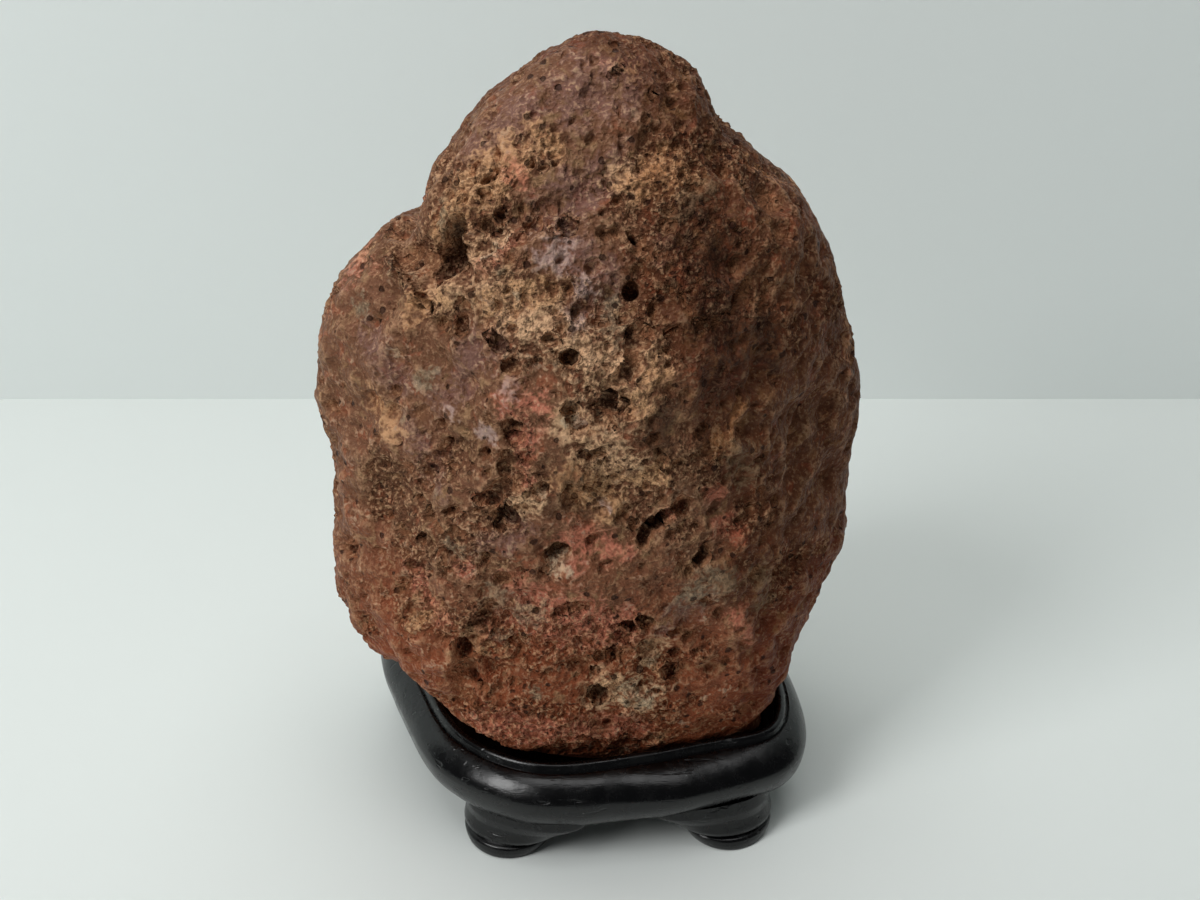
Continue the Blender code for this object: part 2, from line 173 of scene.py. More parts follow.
# Broad swells and hollows: name, bearing, tilt, spread, height
SWELLS = (
    ("hollow behind the shoulder", -125, 38, 18, -3.0), ("lower left lump", -42, -38, 9, 2.0),
    ("left toe", -34, -60, 9, 1.8), ("chest", 2, -22, 15, 1.5), ("right heel", 60, -50, 11, 1.6),
    ("right cheek", 40, 24, 14, 1.5), ("back lump", 160, -20, 17, 3.0),
    ("back hollow", -165, 10, 15, -2.5), ("back shoulder", 130, 35, 13, 2.0),
)


def outline_table():
    """The outline as (angles, distances from the heart), and at whole degrees as its own average over
    BACK_SMOOTHING degrees either side."""
    outline = closed_curve(OUTLINE, 24) - HEART[[0, 2]]
    angle = np.arctan2(outline[:, 1], outline[:, 0])
    order = np.argsort(angle)
    angle, reach = angle[order], np.hypot(*outline.T)[order]
    whole = np.radians(np.arange(-180, 180))
    even = np.interp(whole, angle, reach, period=2 * np.pi)
    return angle, reach, whole, averaged(even, BACK_SMOOTHING)


ANGLES, REACHES, WHOLE_DEGREES, SOFT_REACHES = outline_table()


def outline_reach(turned, behind):
    """Distance from the heart to the outline at an angle turned up from the right. Where behind rises from
    0 to 1, the outline gives way to its average, because the back is smoother than the front."""
    sharp = np.interp(turned, ANGLES, REACHES, period=2 * np.pi)
    return sharp + behind * (np.interp(turned, WHOLE_DEGREES, SOFT_REACHES, period=2 * np.pi) - sharp)


def block_reach(ways):
    """Distance from the heart to the block in each direction. With p for CRISPNESS, it is the sum of every
    limit ** -p, to the power of -1 / p. With r for ROUNDNESS, the pillow is the limit where
    (side / outline) ** r + (depth / HALF_DEPTH) ** r is 1. Each flat face is one more limit."""
    rim = outline_reach(np.arctan2(ways[:, 2], ways[:, 0]), ease(ways[:, 1], 0.12, 0.5))
    side = np.hypot(ways[:, 0], ways[:, 2])
    pillow = (side / rim) ** ROUNDNESS + (np.abs(ways[:, 1]) / HALF_DEPTH) ** ROUNDNESS
    total = pillow ** (CRISPNESS / ROUNDNESS)
    for _, bearing, tilt, distance in FACES:
        total += (np.clip(ways @ facing(bearing, tilt), 0, None) / distance) ** CRISPNESS
    return total ** (-1 / CRISPNESS)


def stone_reach(ways):
    """The block's reach with each swell added as height * exp(-(distance / spread) ** 2)."""
    reach = block_reach(ways)
    points = reach[:, None] * ways
    for _, bearing, tilt, spread, height in SWELLS:
        way = facing(bearing, tilt)[None, :]
        centre = block_reach(way)[:, None] * way
        reach = reach + height * np.exp(-np.sum((points - centre) ** 2, axis=1) / spread ** 2)
    return reach


# %% [markdown]
# ## The grid of points
#
# The surface is a grid of rings, like the lines of a globe: columns run from the seat to the peak, rows
# run round. A globe's lines crowd at its poles and spread where the eye looks, so both are evened out.
# Rows are set at equal steps along the front profile, and columns are crowded towards the front, where the
# stone is meant to be looked at.

# %% Grid directions
STONE_COLUMNS, STONE_ROWS = 304, 324
FRONT_CROWDING = 0.45
SEAT_ROWS_SHARE = 0.06


def stone_directions():
    """Directions of the grid's points from the heart, rows by columns. With a running evenly round the
    turn, the bearing is a - FRONT_CROWDING sin a. The tilts are those at equal steps along the front
    profile, where the part under the seat counts for SEAT_ROWS_SHARE of its length."""
    turn = np.linspace(-np.pi, np.pi, STONE_COLUMNS, endpoint=False)
    bearing = turn - FRONT_CROWDING * np.sin(turn)
    tilt = np.radians(np.linspace(-90, 90, 1441))
    ways = np.stack([0 * tilt, -np.cos(tilt), np.sin(tilt)], axis=1)
    profile = HEART + stone_reach(ways)[:, None] * ways
    run = np.linalg.norm(np.diff(profile, axis=0), axis=1)
    run *= np.where(profile[1:, 2] < SEAT, SEAT_ROWS_SHARE, 1)
    along = np.concatenate([[0], np.cumsum(run)])
    tilts = np.interp(np.linspace(0, along[-1], STONE_ROWS + 2)[1:-1], along, tilt)
    b, t = np.meshgrid(bearing, tilts)
    return np.stack([np.sin(b) * np.cos(t), -np.cos(b) * np.cos(t), np.sin(t)], axis=-1)


def grid_normals(grid):
    """The direction square to the surface at each point: the step to the next column crossed with the step
    to the next row."""
    across = np.roll(grid, -1, axis=1) - np.roll(grid, 1, axis=1)
    up = np.gradient(grid, axis=0)
    normal = np.cross(across, up)
    return normal / np.linalg.norm(normal, axis=2, keepdims=True)


def ring_faces(rows, columns, first=0):
    """The numbers of the points, ring by ring from first, and the quads between neighbouring rings."""
    index = first + np.arange(rows * columns).reshape(rows, columns)
    after = np.roll(index, -1, axis=1)
    quads = np.stack([index[:-1], after[:-1], after[1:], index[1:]], axis=-1)
    return index, quads.reshape(-1, 4)


def globe_faces(rows, columns):
    """The quads, and a fan of triangles to a pole at each end. The poles are the last two points."""
    index, quads = ring_faces(rows, columns)
    low, high = rows * columns, rows * columns + 1
    below = np.stack([np.roll(index[0], -1), index[0], np.full(columns, low)], axis=-1)
    above = np.stack([index[-1], np.roll(index[-1], -1), np.full(columns, high)], axis=-1)
    return quads, np.vstack([below, above])


ways = stone_directions()
broad = HEART + stone_reach(ways.reshape(-1, 3))[:, None] * ways.reshape(-1, 3)
print("stone grid:", ways.shape[:2], "width and height in mm:", np.ptp(broad, axis=0).round(1)[[0, 2]])

# %% [markdown]
# ## Large relief
#
# Weather has worked on this block for a long time. Broad lumps are noise of three sizes. A layer at the
# top is set back behind an edge, with a gully and a cave under it. Valleys are worn along short paths, and
# pits are round. Each is given as it is seen from the front, and a search along the line of sight finds
# where it lies on the surface.

# %% Tools that place things on the stone
SEARCH_STEPS = 24


def slide_in(start, end):
    """The points where lines from start to end meet the stone, by halving them SEARCH_STEPS times."""
    outside, inside = start.astype(float), end.astype(float)
    for _ in range(SEARCH_STEPS):
        middle = (outside + inside) / 2
        arm = middle - HEART
        length = np.linalg.norm(arm, axis=1)
        within = (length < stone_reach(arm / length[:, None]))[:, None]
        inside, outside = np.where(within, middle, inside), np.where(within, outside, middle)
    return (outside + inside) / 2


def front_points(seen):
    """The stone's points that are seen from the front at each (x, z)."""
    seen = np.array(seen, float)
    start = np.stack([seen[:, 0], np.full(len(seen), -HALF_DEPTH), seen[:, 1]], axis=1)
    end = start.copy()
    end[:, 1] = 0
    return slide_in(start, end)


def front_paths(paths):
    """The same for a list of paths of such points, in one search."""
    found = front_points([seen for path in paths for seen in path])
    return np.split(found, np.cumsum([len(path) for path in paths])[:-1])


def wandered(points, amount=1.0):
    """The points moved about by noise 3.6 and 1.6 mm across. Whatever is placed by a distance from moved
    points gets an edge that wanders, because nothing in a rock is a perfect circle."""
    moves = [
        2.0 * gradient_noise(points, 3.6, 61 + axis) + 0.9 * gradient_noise(points, 1.6, 64 + axis)
        for axis in range(3)
    ]
    return points + amount * np.stack(moves, axis=1)


def distance_to_path(points, path):
    """Distance from each point to a path of straight runs. A path of one point is that point."""
    path = np.vstack([path, path[-1:]])
    nearest = np.full(len(points), np.inf)
    for a, b in zip(path[:-1], path[1:]):
        run = b - a
        share = np.clip((points - a) @ run / max(run @ run, 1e-9), 0, 1)
        nearest = np.minimum(nearest, np.linalg.norm(points - a - share[:, None] * run, axis=1))
    return nearest


# Hollows are deepest at their upper left, and their floors rise to the lower right: how much, and that way
LEAN = 0.6
DOWN_RIGHT = np.array([0.64, 0.0, -0.77])


def leaning(away, size):
    """Factor on the depth of a hollow of this size, at the step away from its middle: 1 + LEAN at the
    upper left edge, 1 - LEAN at the lower right one."""
    return 1 - LEAN * np.clip(away @ DOWN_RIGHT / size, -1, 1)


def bubble_depth(points, normals, cell, smallest, largest, chance, seed):
    """How deep the surface sinks into gas bubbles that weather has cut open. Space is cut in cubic cells,
    and each holds one bubble, or none, at a random place in it. A point inside a bubble of radius r sinks
    along its normal to the bubble's far wall, by h + sqrt(h ** 2 + r ** 2 - |v| ** 2): v runs from the
    bubble's centre to the point, and h is its part along the normal. The rim is rounded over the outer
    fifth, and the floor leans."""
    draw = np.random.default_rng(seed)
    place = draw.random((1024, 3))
    radius = smallest + (largest - smallest) * draw.random(1024) ** 2
    radius[draw.random(1024) > chance] = 0
    home = np.floor(points / cell).astype(int)
    deepest = np.zeros(len(points))
    for step in np.ndindex(3, 3, 3):
        at = home + step - 1
        row = (at[:, 0] * 73 + at[:, 1] * 179 + at[:, 2] * 283) % 1024
        away = points - (at + place[row]) * cell
        along = np.sum(away * normals, axis=1)
        inside = np.clip(radius[row] ** 2 - np.sum(away ** 2, axis=1), 0, None)
        rounded = np.sqrt(np.clip(inside / np.maximum(0.36 * radius[row] ** 2, 1e-9), 0, 1))
        sunk = np.clip(along + np.sqrt(along ** 2 + inside), 0, radius[row])
        deepest = np.maximum(deepest, rounded * sunk * leaning(away, np.maximum(radius[row], 0.1)))
    return deepest


# %% Lumps, layer, gully, valleys and large pits
# Noise: size, height, seed
LUMPS = ((27, 2.4, 3), (12, 2.6, 5), (6, 2.0, 8))

# The edge of the layer above the gully, (x, z), and how far the stone above it is set back
LAYER_EDGE = ((-45, 131), (-22, 132.2), (-14.7, 138), (-4.3, 141.6), (9.8, 148.7), (26, 154))
LAYER_STEP = 2.6

# Valleys on the front: name, half width, depth, points (x, z). A negative depth stands up as a ridge.
VALLEYS = (
    ("gully from the notch", 2.2, 1.6, ((-34.5, 130.5), (-30, 132), (-27, 134))),
    ("end of the gully", 1.8, 1.0, ((-12, 142), (-7, 143.5))),
    ("cave in the gully", 3.2, 6.0, ((-29.0, 131.4), (-27.4, 134.2), (-24.8, 137.6))),
    ("small cave", 1.1, 2.4, ((-18.6, 141.4), (-17.6, 142))),
    ("smaller cave", 0.8, 1.8, ((-15.4, 142.2), (-15.0, 142.6))),
    ("lip right of the cave", 1.7, -1.6, ((-20.5, 134), (-16.5, 138), (-11, 141.5))),
    ("long groove", 1.5, 1.6, ((10.5, 124), (7.8, 118), (4.6, 113), (3.6, 108.5))),
    ("slot", 0.8, 3.6, ((11, 81), (12.2, 84), (16.2, 87.8))),
    ("upright crevice, upper", 1.6, 1.8, ((-12.7, 107), (-12.4, 104))),
    ("upright crevice, lower", 1.9, 2.2, ((-13.7, 99.5), (-13.2, 95))),
    ("left crevice", 1.3, 1.9, ((-26.6, 98.5), (-28.5, 95), (-30.9, 91))),
    ("slanting crevice", 1.5, 2.2, ((-15.4, 94), (-18.8, 89.3))),
    ("short crevice", 1.3, 1.7, ((-7.4, 94.5), (-9.8, 92.9))),
    ("level crevice", 1.3, 1.8, ((-4.3, 66.6), (0.2, 67.6))),
    ("crevice over the salmon floor", 1.5, 2.0, ((-16.5, 72.4), (-12.5, 75.2))),
    ("arc over the crater", 1.2, 1.6, ((3.6, 54.2), (5.9, 55.4), (8.2, 54.2))),
    ("three-cornered hole", 0.9, 3.6, ((22.3, 76.2), (23.4, 78.6))),
    ("crease of the lower lump", 2.2, 2.0, ((-22, 60), (-25, 52), (-26, 44), (-20, 36))),
    ("hole in the crease", 1.2, 2.6, ((-25.4, 55.5), (-25.6, 52.5))),
    ("crack near the top", 0.45, 1.2, ((4.8, 163.0), (7.4, 165.2))),
)

# Large pits on the front: x, z, radius, depth
PITS = (
    (-5.3, 78.4, 3.2, 2.8), (12.9, 54.6, 3.2, 1.9), (2.7, 41.5, 1.7, 3.9), (-2.3, 109.6, 1.9, 2.6),
    (2.0, 100.6, 1.5, 3.5), (-18.4, 99.7, 1.3, 3.2), (-14.7, 85.2, 1.9, 2.8), (-24.8, 82.7, 1.5, 2.2),
    (-29.9, 83.0, 2.3, 1.4), (-32.7, 77.7, 1.5, 1.9), (11.6, 63.1, 1.6, 2.4), (8.4, 61.2, 1.9, 2.2),
    (7.1, 58.8, 1.4, 1.8), (-35.0, 71.1, 1.5, 2.6), (-27.0, 76.2, 1.7, 2.2), (18.6, 88.6, 2.2, 1.6),
    (20.9, 73.1, 1.6, 1.9), (9.5, 85.6, 1.3, 1.9), (2.7, 88.6, 1.1, 1.8), (26.9, 61.2, 1.5, 2.4),
    (24.3, 64.8, 1.5, 1.6), (18.2, 57.8, 1.4, 1.9), (21.3, 55.8, 1.4, 1.9), (19.0, 51.3, 1.3, 1.9),
    (17.1, 47.3, 1.5, 2.4), (29.3, 48.1, 1.3, 1.4), (-2.9, 119.7, 1.5, 3.2), (-12.9, 117.2, 2.1, 1.9),
    (-15.9, 121.1, 1.8, 2.8), (-6.0, 122.7, 1.8, 2.4), (-23.5, 122.6, 1.6, 1.9), (-36.4, 113.8, 2.4, 1.4),
    (-50.4, 108.5, 1.4, 1.8), (-40.4, 120.1, 1.0, 1.4), (-34.2, 131.2, 1.2, 1.6), (-34.1, 113.0, 1.2, 1.5),
    (-41.0, 96.5, 1.5, 1.4), (22.6, 103.2, 1.8, 1.9), (31.2, 102.4, 2.0, 1.9), (14.0, 99.0, 1.2, 1.5),
    (12.8, 103.8, 1.2, 1.8), (8.7, 131.4, 1.6, 2.2), (2.3, 134.4, 1.6, 1.6), (-3.1, 141.4, 1.7, 1.4),
    (14.0, 160.3, 0.9, 1.4), (18.3, 156.3, 1.0, 1.5), (10.9, 157.0, 1.1, 1.4), (-17.2, 145.7, 1.2, 1.9),
    (5.3, 168.0, 1.1, 2.0), (-37.7, 77.9, 1.5, 1.8), (-30.8, 82.5, 1.3, 1.6), (-33.5, 60.5, 2.0, 1.1),
    (-20.5, 44.0, 1.4, 1.8), (34.5, 95.4, 1.4, 1.6), (36.9, 80.7, 1.5, 1.8), (34.9, 86.7, 1.4, 1.5),
)

# Gas bubbles in the back: cell, smallest and largest radius, chance, seed
BACK_BUBBLES = (13.0, 2.4, 4.4, 0.75, 21)


def lumps_and_layer(points, moved):
    """Height of the lumps and of the layer's step, in mm. A lump of height h is made h - 0.35 |h|, because
    weather takes away more than it leaves, and lumps are lower near the outline, which keeps its shape.
    The step dies away over 16 mm above the layer's edge."""
    height = np.zeros(len(points))
    off_outline = 0.45 + 0.55 * ease(np.abs(points[:, 1]), 4, 22)
    for cell, amount, seed in LUMPS:
        height += off_outline * amount * gradient_noise(points, cell, seed)
    height -= 0.35 * np.abs(height)
    edge = np.array(LAYER_EDGE, float)
    above = moved[:, 2] - np.interp(moved[:, 0], edge[:, 0], edge[:, 1])
    on_front = ease(-points[:, 1], 12, 26)
    step = LAYER_STEP * ease(points[:, 0], 24, -6)
    return height - on_front * step * ease(above, -1.5, 2.0) * np.exp(-np.clip(above, 0, None) / 16)


def valleys_and_pits(points, moved, normals):
    """Depth of the valleys, pits and bubbles, in mm. A valley or a pit of half width w sinks by its depth
    within 0.4 w of its middle, and rises to nothing at 1.2 w. A pit's w is 0.85 of its radius, and its
    floor leans. The bubbles open behind the front, to 0.7 of their depth."""
    depth = 0.7 * ease(points[:, 1], -16, -4) * bubble_depth(points, normals, *BACK_BUBBLES)
    worn = [(half, deep, path) for _, half, deep, path in VALLEYS]
    worn += [(0.85 * radius, deep, ((x, z),)) for x, z, radius, deep in PITS]
    for (half, deep, _), path in zip(worn, front_paths([path for _, _, path in worn])):
        leaned = leaning(moved - path[0], half) if len(path) == 1 else 1
        depth += deep * leaned * ease(distance_to_path(moved, path) / half, 1.2, 0.4)
    return depth


broad_normals = grid_normals(broad.reshape(ways.shape)).reshape(-1, 3)
moved = wandered(broad)
cut = valleys_and_pits(broad, moved, broad_normals)
raised = lumps_and_layer(broad, moved) - cut
print("large relief in mm, lowest and highest:", raised.min().round(1), raised.max().round(1))

# %% [markdown]
# ## Skin and broken ground
#
# Close up the stone has two kinds of surface. Where its weathered skin is whole it is smooth and takes a
# slight polish, with a few small pits. Where the skin has gone, the ground below it is grainy, a little
# lower, and lighter in colour. One number per point, from 0 for skin to 1 for broken ground, drives both
# the fine relief and, later, the colour, so that shape and colour always agree. Patches that show from the
# front are placed as short paths with a half width, and noise lays out the rest of the stone in
# the same manner.

# %% Where the skin is whole and where it is broken
# Half width, then the points (x, z) of a short path
WHOLE_SKIN = (
    (15, (-46, 112), (-40, 124)), (9, (-49, 96), (-48, 72)), (7, (-10, 157), (-18, 153)),
    (9, (0, 163), (6, 166)), (4.5, (-27, 109), (-20, 119), (-15, 124)), (7, (-8, 145), (3, 150)),
    (5, (-5, 137), (2, 134)), (9, (-34, 50), (-29, 44)), (13, (32, 64), (35, 50)), (6, (26, 72)),
    (6, (31, 94)), (8, (-38, 100), (-30, 104)), (5, (-24, 68), (-34, 65)), (4, (-30, 88), (-26, 92)),
    (10, (44, 80), (46, 110)), (6, (22, 66), (14, 60)), (4, (-6, 115)), (4, (10, 66), (3, 74)),
    (5, (-38, 117), (-30, 113)),
)
BROKEN_GROUND = (
    (8, (-16, 129), (-4, 124)), (8, (-2, 122), (5, 116)), (7, (13, 119), (9, 111)),
    (5, (-31, 126), (-24, 130)), (2.8, (-20, 135), (-14, 139.5)), (9, (-27, 141), (-20, 146), (-13, 151)),
    (8, (7, 96), (1, 102)), (4.5, (-12, 92), (-17, 87)), (7, (-36, 131), (-25, 136)),
    (5, (-10, 149), (-8, 154)), (8, (-34, 62), (-22, 59)), (8, (-14, 56), (6, 57)),
    (11, (-21, 36), (8, 33)), (7, (8, 42), (5, 45)), (5, (8, 147), (17, 150)), (5, (-37, 79), (-33, 73)),
    (4, (-13, 105), (-10, 98)), (4, (-24, 84), (-14, 86)), (6, (-35, 130), (-26, 129)),
    (5, (22, 128), (16, 134)), (4, (30, 148), (22, 152)), (6, (-34, 82), (-42, 84)),
    (5, (10, 90), (18, 104)),
)


def patches(moved, places):
    """Strength, 0 to 1, of a set of patches at each moved point: 1 within 0.2 half widths of a path,
    falling to 0 at 1.5 half widths."""
    strength = np.zeros(len(moved))
    for (half, *_), path in zip(places, front_paths([path for _, *path in places])):
        strength = np.maximum(strength, ease(distance_to_path(moved, path) / half, 1.5, 0.2))
    return strength


# Noise: size, weight, seed
ZONES = ((24, 0.7, 41), (9, 0.9, 42), (3.8, 0.6, 43))

moved_far = wandered(broad, 1.3)
zones = sum(weight * gradient_noise(broad, cell, seed) for cell, weight, seed in ZONES)
zones += 0.6 * patches(moved_far, BROKEN_GROUND) - 0.35 * patches(moved_far, WHOLE_SKIN)
broken = ease(zones, -0.2, 0.45)
print("share of broken ground:", round(float(broken.mean()), 2))

# %% Fine relief: crags, small pits and scallops
# How far the skin is worn down, and how much lower broken ground lies
SKIN_WORN, GROUND_SUNK = 0.6, 0.15

# The way in which the bubbles of the right flank are drawn out
SLANT = np.array([0.41, 0.41, 0.81])

# Small open bubbles: cell, smallest and largest radius, chance, seed
CRAGS = (2.9, 1.0, 1.8, 0.95, 35)
MANY_SMALL = (3.2, 0.7, 1.2, 0.65, 31)
SOME_MIDDLING = (5.0, 1.0, 2.1, 0.8, 36)
DISHES = (9.5, 2.4, 4.0, 0.6, 34)
SCALLOPS = (3.2, 0.9, 1.5, 0.95, 33)


def fine_relief(points, normals, broken):
    """Height of the fine relief in mm. The skin is worn by SKIN_WORN, and broken ground is sunk by
    GROUND_SUNK more. Broken ground is made of bubbles that cut into each other and leave sharp crags
    between, with noise 1.3 mm across on top. Small bubbles open all over, middling ones in zones and on
    the lower half, and wide shallow dishes are left of the largest. On the right flank the bubbles are
    drawn out to twice their length along SLANT, by halving the points' place along it beforehand."""
    moved = wandered(points, 0.6)
    height = -SKIN_WORN - GROUND_SUNK * broken
    coarse = 0.45 * gradient_noise(points, 2.7, 51)
    height += coarse + (0.3 + 0.8 * broken) * gradient_noise(points, 1.3, 52)
    height -= 0.4 * bubble_depth(moved, normals, *DISHES) * ease(points[:, 2], 156, 138)
    height -= 0.85 * broken * bubble_depth(moved, normals, *CRAGS)
    height -= 0.85 * bubble_depth(moved, normals, *MANY_SMALL)
    right_flank = ease(normals @ facing(62, 0), 0.5, 0.8)
    lower = ease(points[:, 2], 104, 84)
    middling = (1 - 0.6 * right_flank) * ease(gradient_noise(points, 15, 53) + 0.3 * lower, -0.2, 0.15)
    height -= middling * bubble_depth(moved, normals, *SOME_MIDDLING)
    drawn_out = moved - 0.5 * (moved @ SLANT)[:, None] * SLANT
    height -= 0.85 * right_flank * bubble_depth(drawn_out, normals, *SCALLOPS)
    return height


carved = broad + raised[:, None] * broad_normals
carved_normals = grid_normals(carved.reshape(ways.shape)).reshape(-1, 3)
fine = fine_relief(broad, carved_normals, broken)
print("fine relief in mm, lowest and highest:", fine.min().round(2), fine.max().round(2))

# %% [markdown]
# ## Putting the stone together
#
# The relief fades out near the foot, where the stone stands in its recess, and everything below the seat
# is cut off flat. The two poles close the globe at the middle of the seat and at the peak. The masks go
# into the mesh as attributes, one number per point, for the material to read.

# %% The stone's mesh
# Heights above the seat where the relief starts and where it is full
FADE_FROM, FADE_TO = 3.0, 10.0


def fill_mesh(name, points, *face_sets):
    """A mesh object from points in mm and any number of face arrays, one for each count of corners."""
    mesh = bpy.data.meshes.new(name)
    mesh.vertices.add(len(points))
    mesh.vertices.foreach_set("co", ((points - MIDDLE) * MM).ravel())
    corners = np.concatenate([faces.ravel() for faces in face_sets])
    sizes = np.concatenate([np.full(len(faces), faces.shape[1]) for faces in face_sets])
    mesh.loops.add(len(corners))
    mesh.loops.foreach_set("vertex_index", corners.astype(np.int32))
    mesh.polygons.add(len(sizes))
    mesh.polygons.foreach_set("loop_start", (np.cumsum(sizes) - sizes).astype(np.int32))
    mesh.update(calc_edges=True)
    mesh.validate()
    mesh.shade_smooth()
    piece = bpy.data.objects.new(name, mesh)
    bpy.context.scene.collection.objects.link(piece)
    return piece


def paint(piece, name, values):
    """Stores one number per point as an attribute of the mesh."""
    layer = piece.data.attributes.new(name, "FLOAT", "POINT")
    layer.data.foreach_set("value", values.astype(np.float32))


fade = ease(broad[:, 2], SEAT + FADE_FROM, SEAT + FADE_TO)
stone_points = broad + (fade * raised)[:, None] * broad_normals + (fade * fine)[:, None] * carved_normals
stone_points[:, 2] = np.maximum(stone_points[:, 2], SEAT)
poles = np.array([[0, 0, SEAT], stone_points[-STONE_COLUMNS:].mean(axis=0)])
stone = fill_mesh("weathered_stone", np.vstack([stone_points, poles]), *globe_faces(*ways.shape[:2]))
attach(stone, "root")
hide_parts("stone")
print("stone:", len(stone.data.polygons), "faces, size in mm:", np.ptp(stone_points, axis=0).round(1))

# %% [markdown]
# ## Mineral colours
#
# The rock is a mixture: mauve where it is densest, ochre and tan crusts on broken ground, salmon red in
# the floors of pits, lilac and grey-green films, and a few pale mineral grains. Each has its own mask,
# made of patches placed on the front and of noise for the sides and back. Two broad masks do the
# rest: iron reddens the lower part, and painted shade darkens the right flank, which faces away from
# the light.

# %% Masks for the mineral colours
# Name: colour, most it covers, noise for the sides and back (cell, seed, low, high), patches
MINERALS = {
    "mauve": ("#7C5A52", 0.7, (17, 73, 0.05, 0.3), (
        (5, (-27, 108), (-20, 119), (-14, 126)), (6, (-5, 138), (3, 133)), (6, (-35, 100)),
        (9, (-2, 161), (8, 164)), (8, (-12, 157), (-19, 152)), (6, (-6, 145), (6, 150)),
        (4, (-28, 90), (-32, 97)), (4, (2, 131), (-2, 128)), (5, (-42, 116), (-36, 110)),
        (3, (-12, 85), (-20, 80)), (4, (24, 68), (16, 60)), (4, (12, 136), (18, 142)),
    )),
    "tan": ("#E2B68E", 0.86, (14, 70, 0.12, 0.4), (
        (7, (-16, 129), (-7, 126)), (6, (-2, 123), (4, 117)), (5, (12, 118), (10, 112)),
        (6, (8, 97), (3, 102)), (8, (10, 41), (5, 44)), (4.5, (13, 53)), (4, (-30, 126), (-24, 129)),
        (4, (-13, 89), (-10, 92)), (5, (-3, 108), (3, 106)), (3, (-20, 135), (-14, 139.5)),
        (3, (-23, 58)), (5, (8, 148), (16, 150)),
    )),
    "ochre": ("#CC9A6E", 0.78, (13, 71, 0.15, 0.4), (
        (7, (-28, 138), (-22, 146), (-14, 151)), (4, (-17, 128), (-8, 131)), (3, (7, 147), (13, 149)),
        (4, (-33, 124), (-27, 128)), (4, (12, 117), (10, 111)), (4, (8, 42), (5, 44)),
        (3, (14, 97), (8, 95)), (3, (-35, 60), (-30, 64)), (3, (-22, 58), (-21, 55)),
        (2, (13, 50), (15, 48)), (4, (-42, 103), (-37, 99)), (3, (-9, 156), (-5, 153)),
        (5, (4, 90), (-2, 96)), (3, (26, 100), (30, 106)),
    )),
    "salmon": ("#D27E66", 0.62, (11, 72, 0.15, 0.4), (
        (2.6, (-19, 135), (-13, 139)), (2.2, (-13, 151), (-11, 147)), (4, (-14, 112), (-9, 110)),
        (2.6, (-23.5, 75.5)), (4.5, (-12.5, 73)), (2.6, (-2.6, 77)), (2.6, (-11, 104), (-11, 96)),
        (2.0, (16, 87)), (3, (30, 80), (27, 84)), (3.5, (28, 113)), (3, (30, 62), (33, 55)),
        (8, (-12, 66), (4, 62)), (7, (-20, 34), (8, 30)), (4, (-20, 58)), (4, (-2, 83), (6, 80)),
        (3, (-36, 70), (-30, 62)), (3, (26, 90)),
    )),
    "lilac": ("#BB9E94", 0.75, (8, 74, 0.3, 0.5), (
        (2.6, (-24.4, 106.7)), (2.2, (-19, 104)), (3.0, (-14, 113)), (4, (0, 132)), (4.5, (-5, 137)),
        (3.5, (-1, 127)), (1.5, (-2, 108)), (2, (3.5, 90)),
    )),
    "grey_green": ("#82745E", 0.72, (10, 75, 0.22, 0.45), (
        (5.5, (26, 71), (22, 68)), (5, (31, 94), (28, 99)), (3, (-37.4, 130)), (3, (-44, 121)),
        (2, (-15, 133.5)), (2, (-36, 102)), (2.2, (-29, 88)), (2.2, (-37, 69)), (2.5, (-17.4, 58.7)),
        (2.5, (-10.5, 45)), (4, (-18, 68), (-10, 64)), (3, (-30, 112)), (4, (22, 146), (16, 142)),
        (4, (34, 70), (37, 62)), (3, (-26, 79)), (3, (6, 125), (4, 129)), (3, (-26, 138), (-28, 143)),
    )),
    # The next entry is painted shade on the upper right of the front and in the cave, where shade falls,
    # with a few more dark patches and, behind the front, a dark crust
    "painted_shade_and_crust": ("#341A0E", 0.78, (19, 79, 0.2, 0.45), (
        (9, (22, 138), (24, 127), (27, 115)), (4, (34, 122), (36, 114)), (4, (14, 110), (15, 104)),
        (3, (-2, 96)), (3, (-25, 48)), (3, (-29, 134.5), (-26, 138)),
    )),
    "pale_grains": ("#C4AF93", 0.85, (3, 76, 0.45, 0.55), (
        (1.0, (-1.9, 124.6)), (1.6, (-3.2, 108)), (1.2, (17, 85.4)), (1.5, (-37.2, 114.2)),
        (1.0, (13.5, 48.3)), (1.0, (-12, 130)), (0.8, (33, 103)), (1.2, (-8.5, 93)), (1.0, (-23.8, 58)),
        (1.0, (9.4, 97)), (1.0, (3.4, 107)), (4.2, (11.5, 41), (8, 43)),
        (1.6, (-18.5, 136), (-14.5, 139.5)), (2.6, (-4.6, 77)), (2.0, (14, 51)),
    )),
}

# Painted shade on the right flank: everything to the right of this line, (x, z) from the foot up
SHADED_FLANK_LINE = (
    (34, 15), (32, 40), (30, 60), (25, 80), (21, 95), (17, 108), (11, 122), (9, 135), (10, 150),
    (16, 160),
)

print(len(MINERALS), "minerals in", sum(len(row[3]) for row in MINERALS.values()), "patches")


# %% [markdown]
# The masks are worked out at every point of the mesh and stored in it. A patch's strength comes from the
# same distance to a path as the valleys use, and the minerals' noise only counts behind the front. Two
# more masks say how deep a hollow a point lies in, and where an edge stands out; such an edge is worn
# by rubbing and also given a painted highlight.

# %% Paint the masks
HOLLOW_FROM, HOLLOW_FULL = 1.0, 4.0
AROUND = 3

# How far each point lies past the line of the painted shade on the right flank, which wanders by noise.
# Behind the front the painted shade reaches round to the left as well.
flank_line = np.array(SHADED_FLANK_LINE, float)
past_line = moved_far[:, 0] - np.interp(moved_far[:, 2], flank_line[:, 1], flank_line[:, 0])
past_line += 12 * gradient_noise(broad, 16, 77)
past_line += 60 * ease(broad[:, 1], -24, 10) * ease(broad[:, 0], 40, 20)
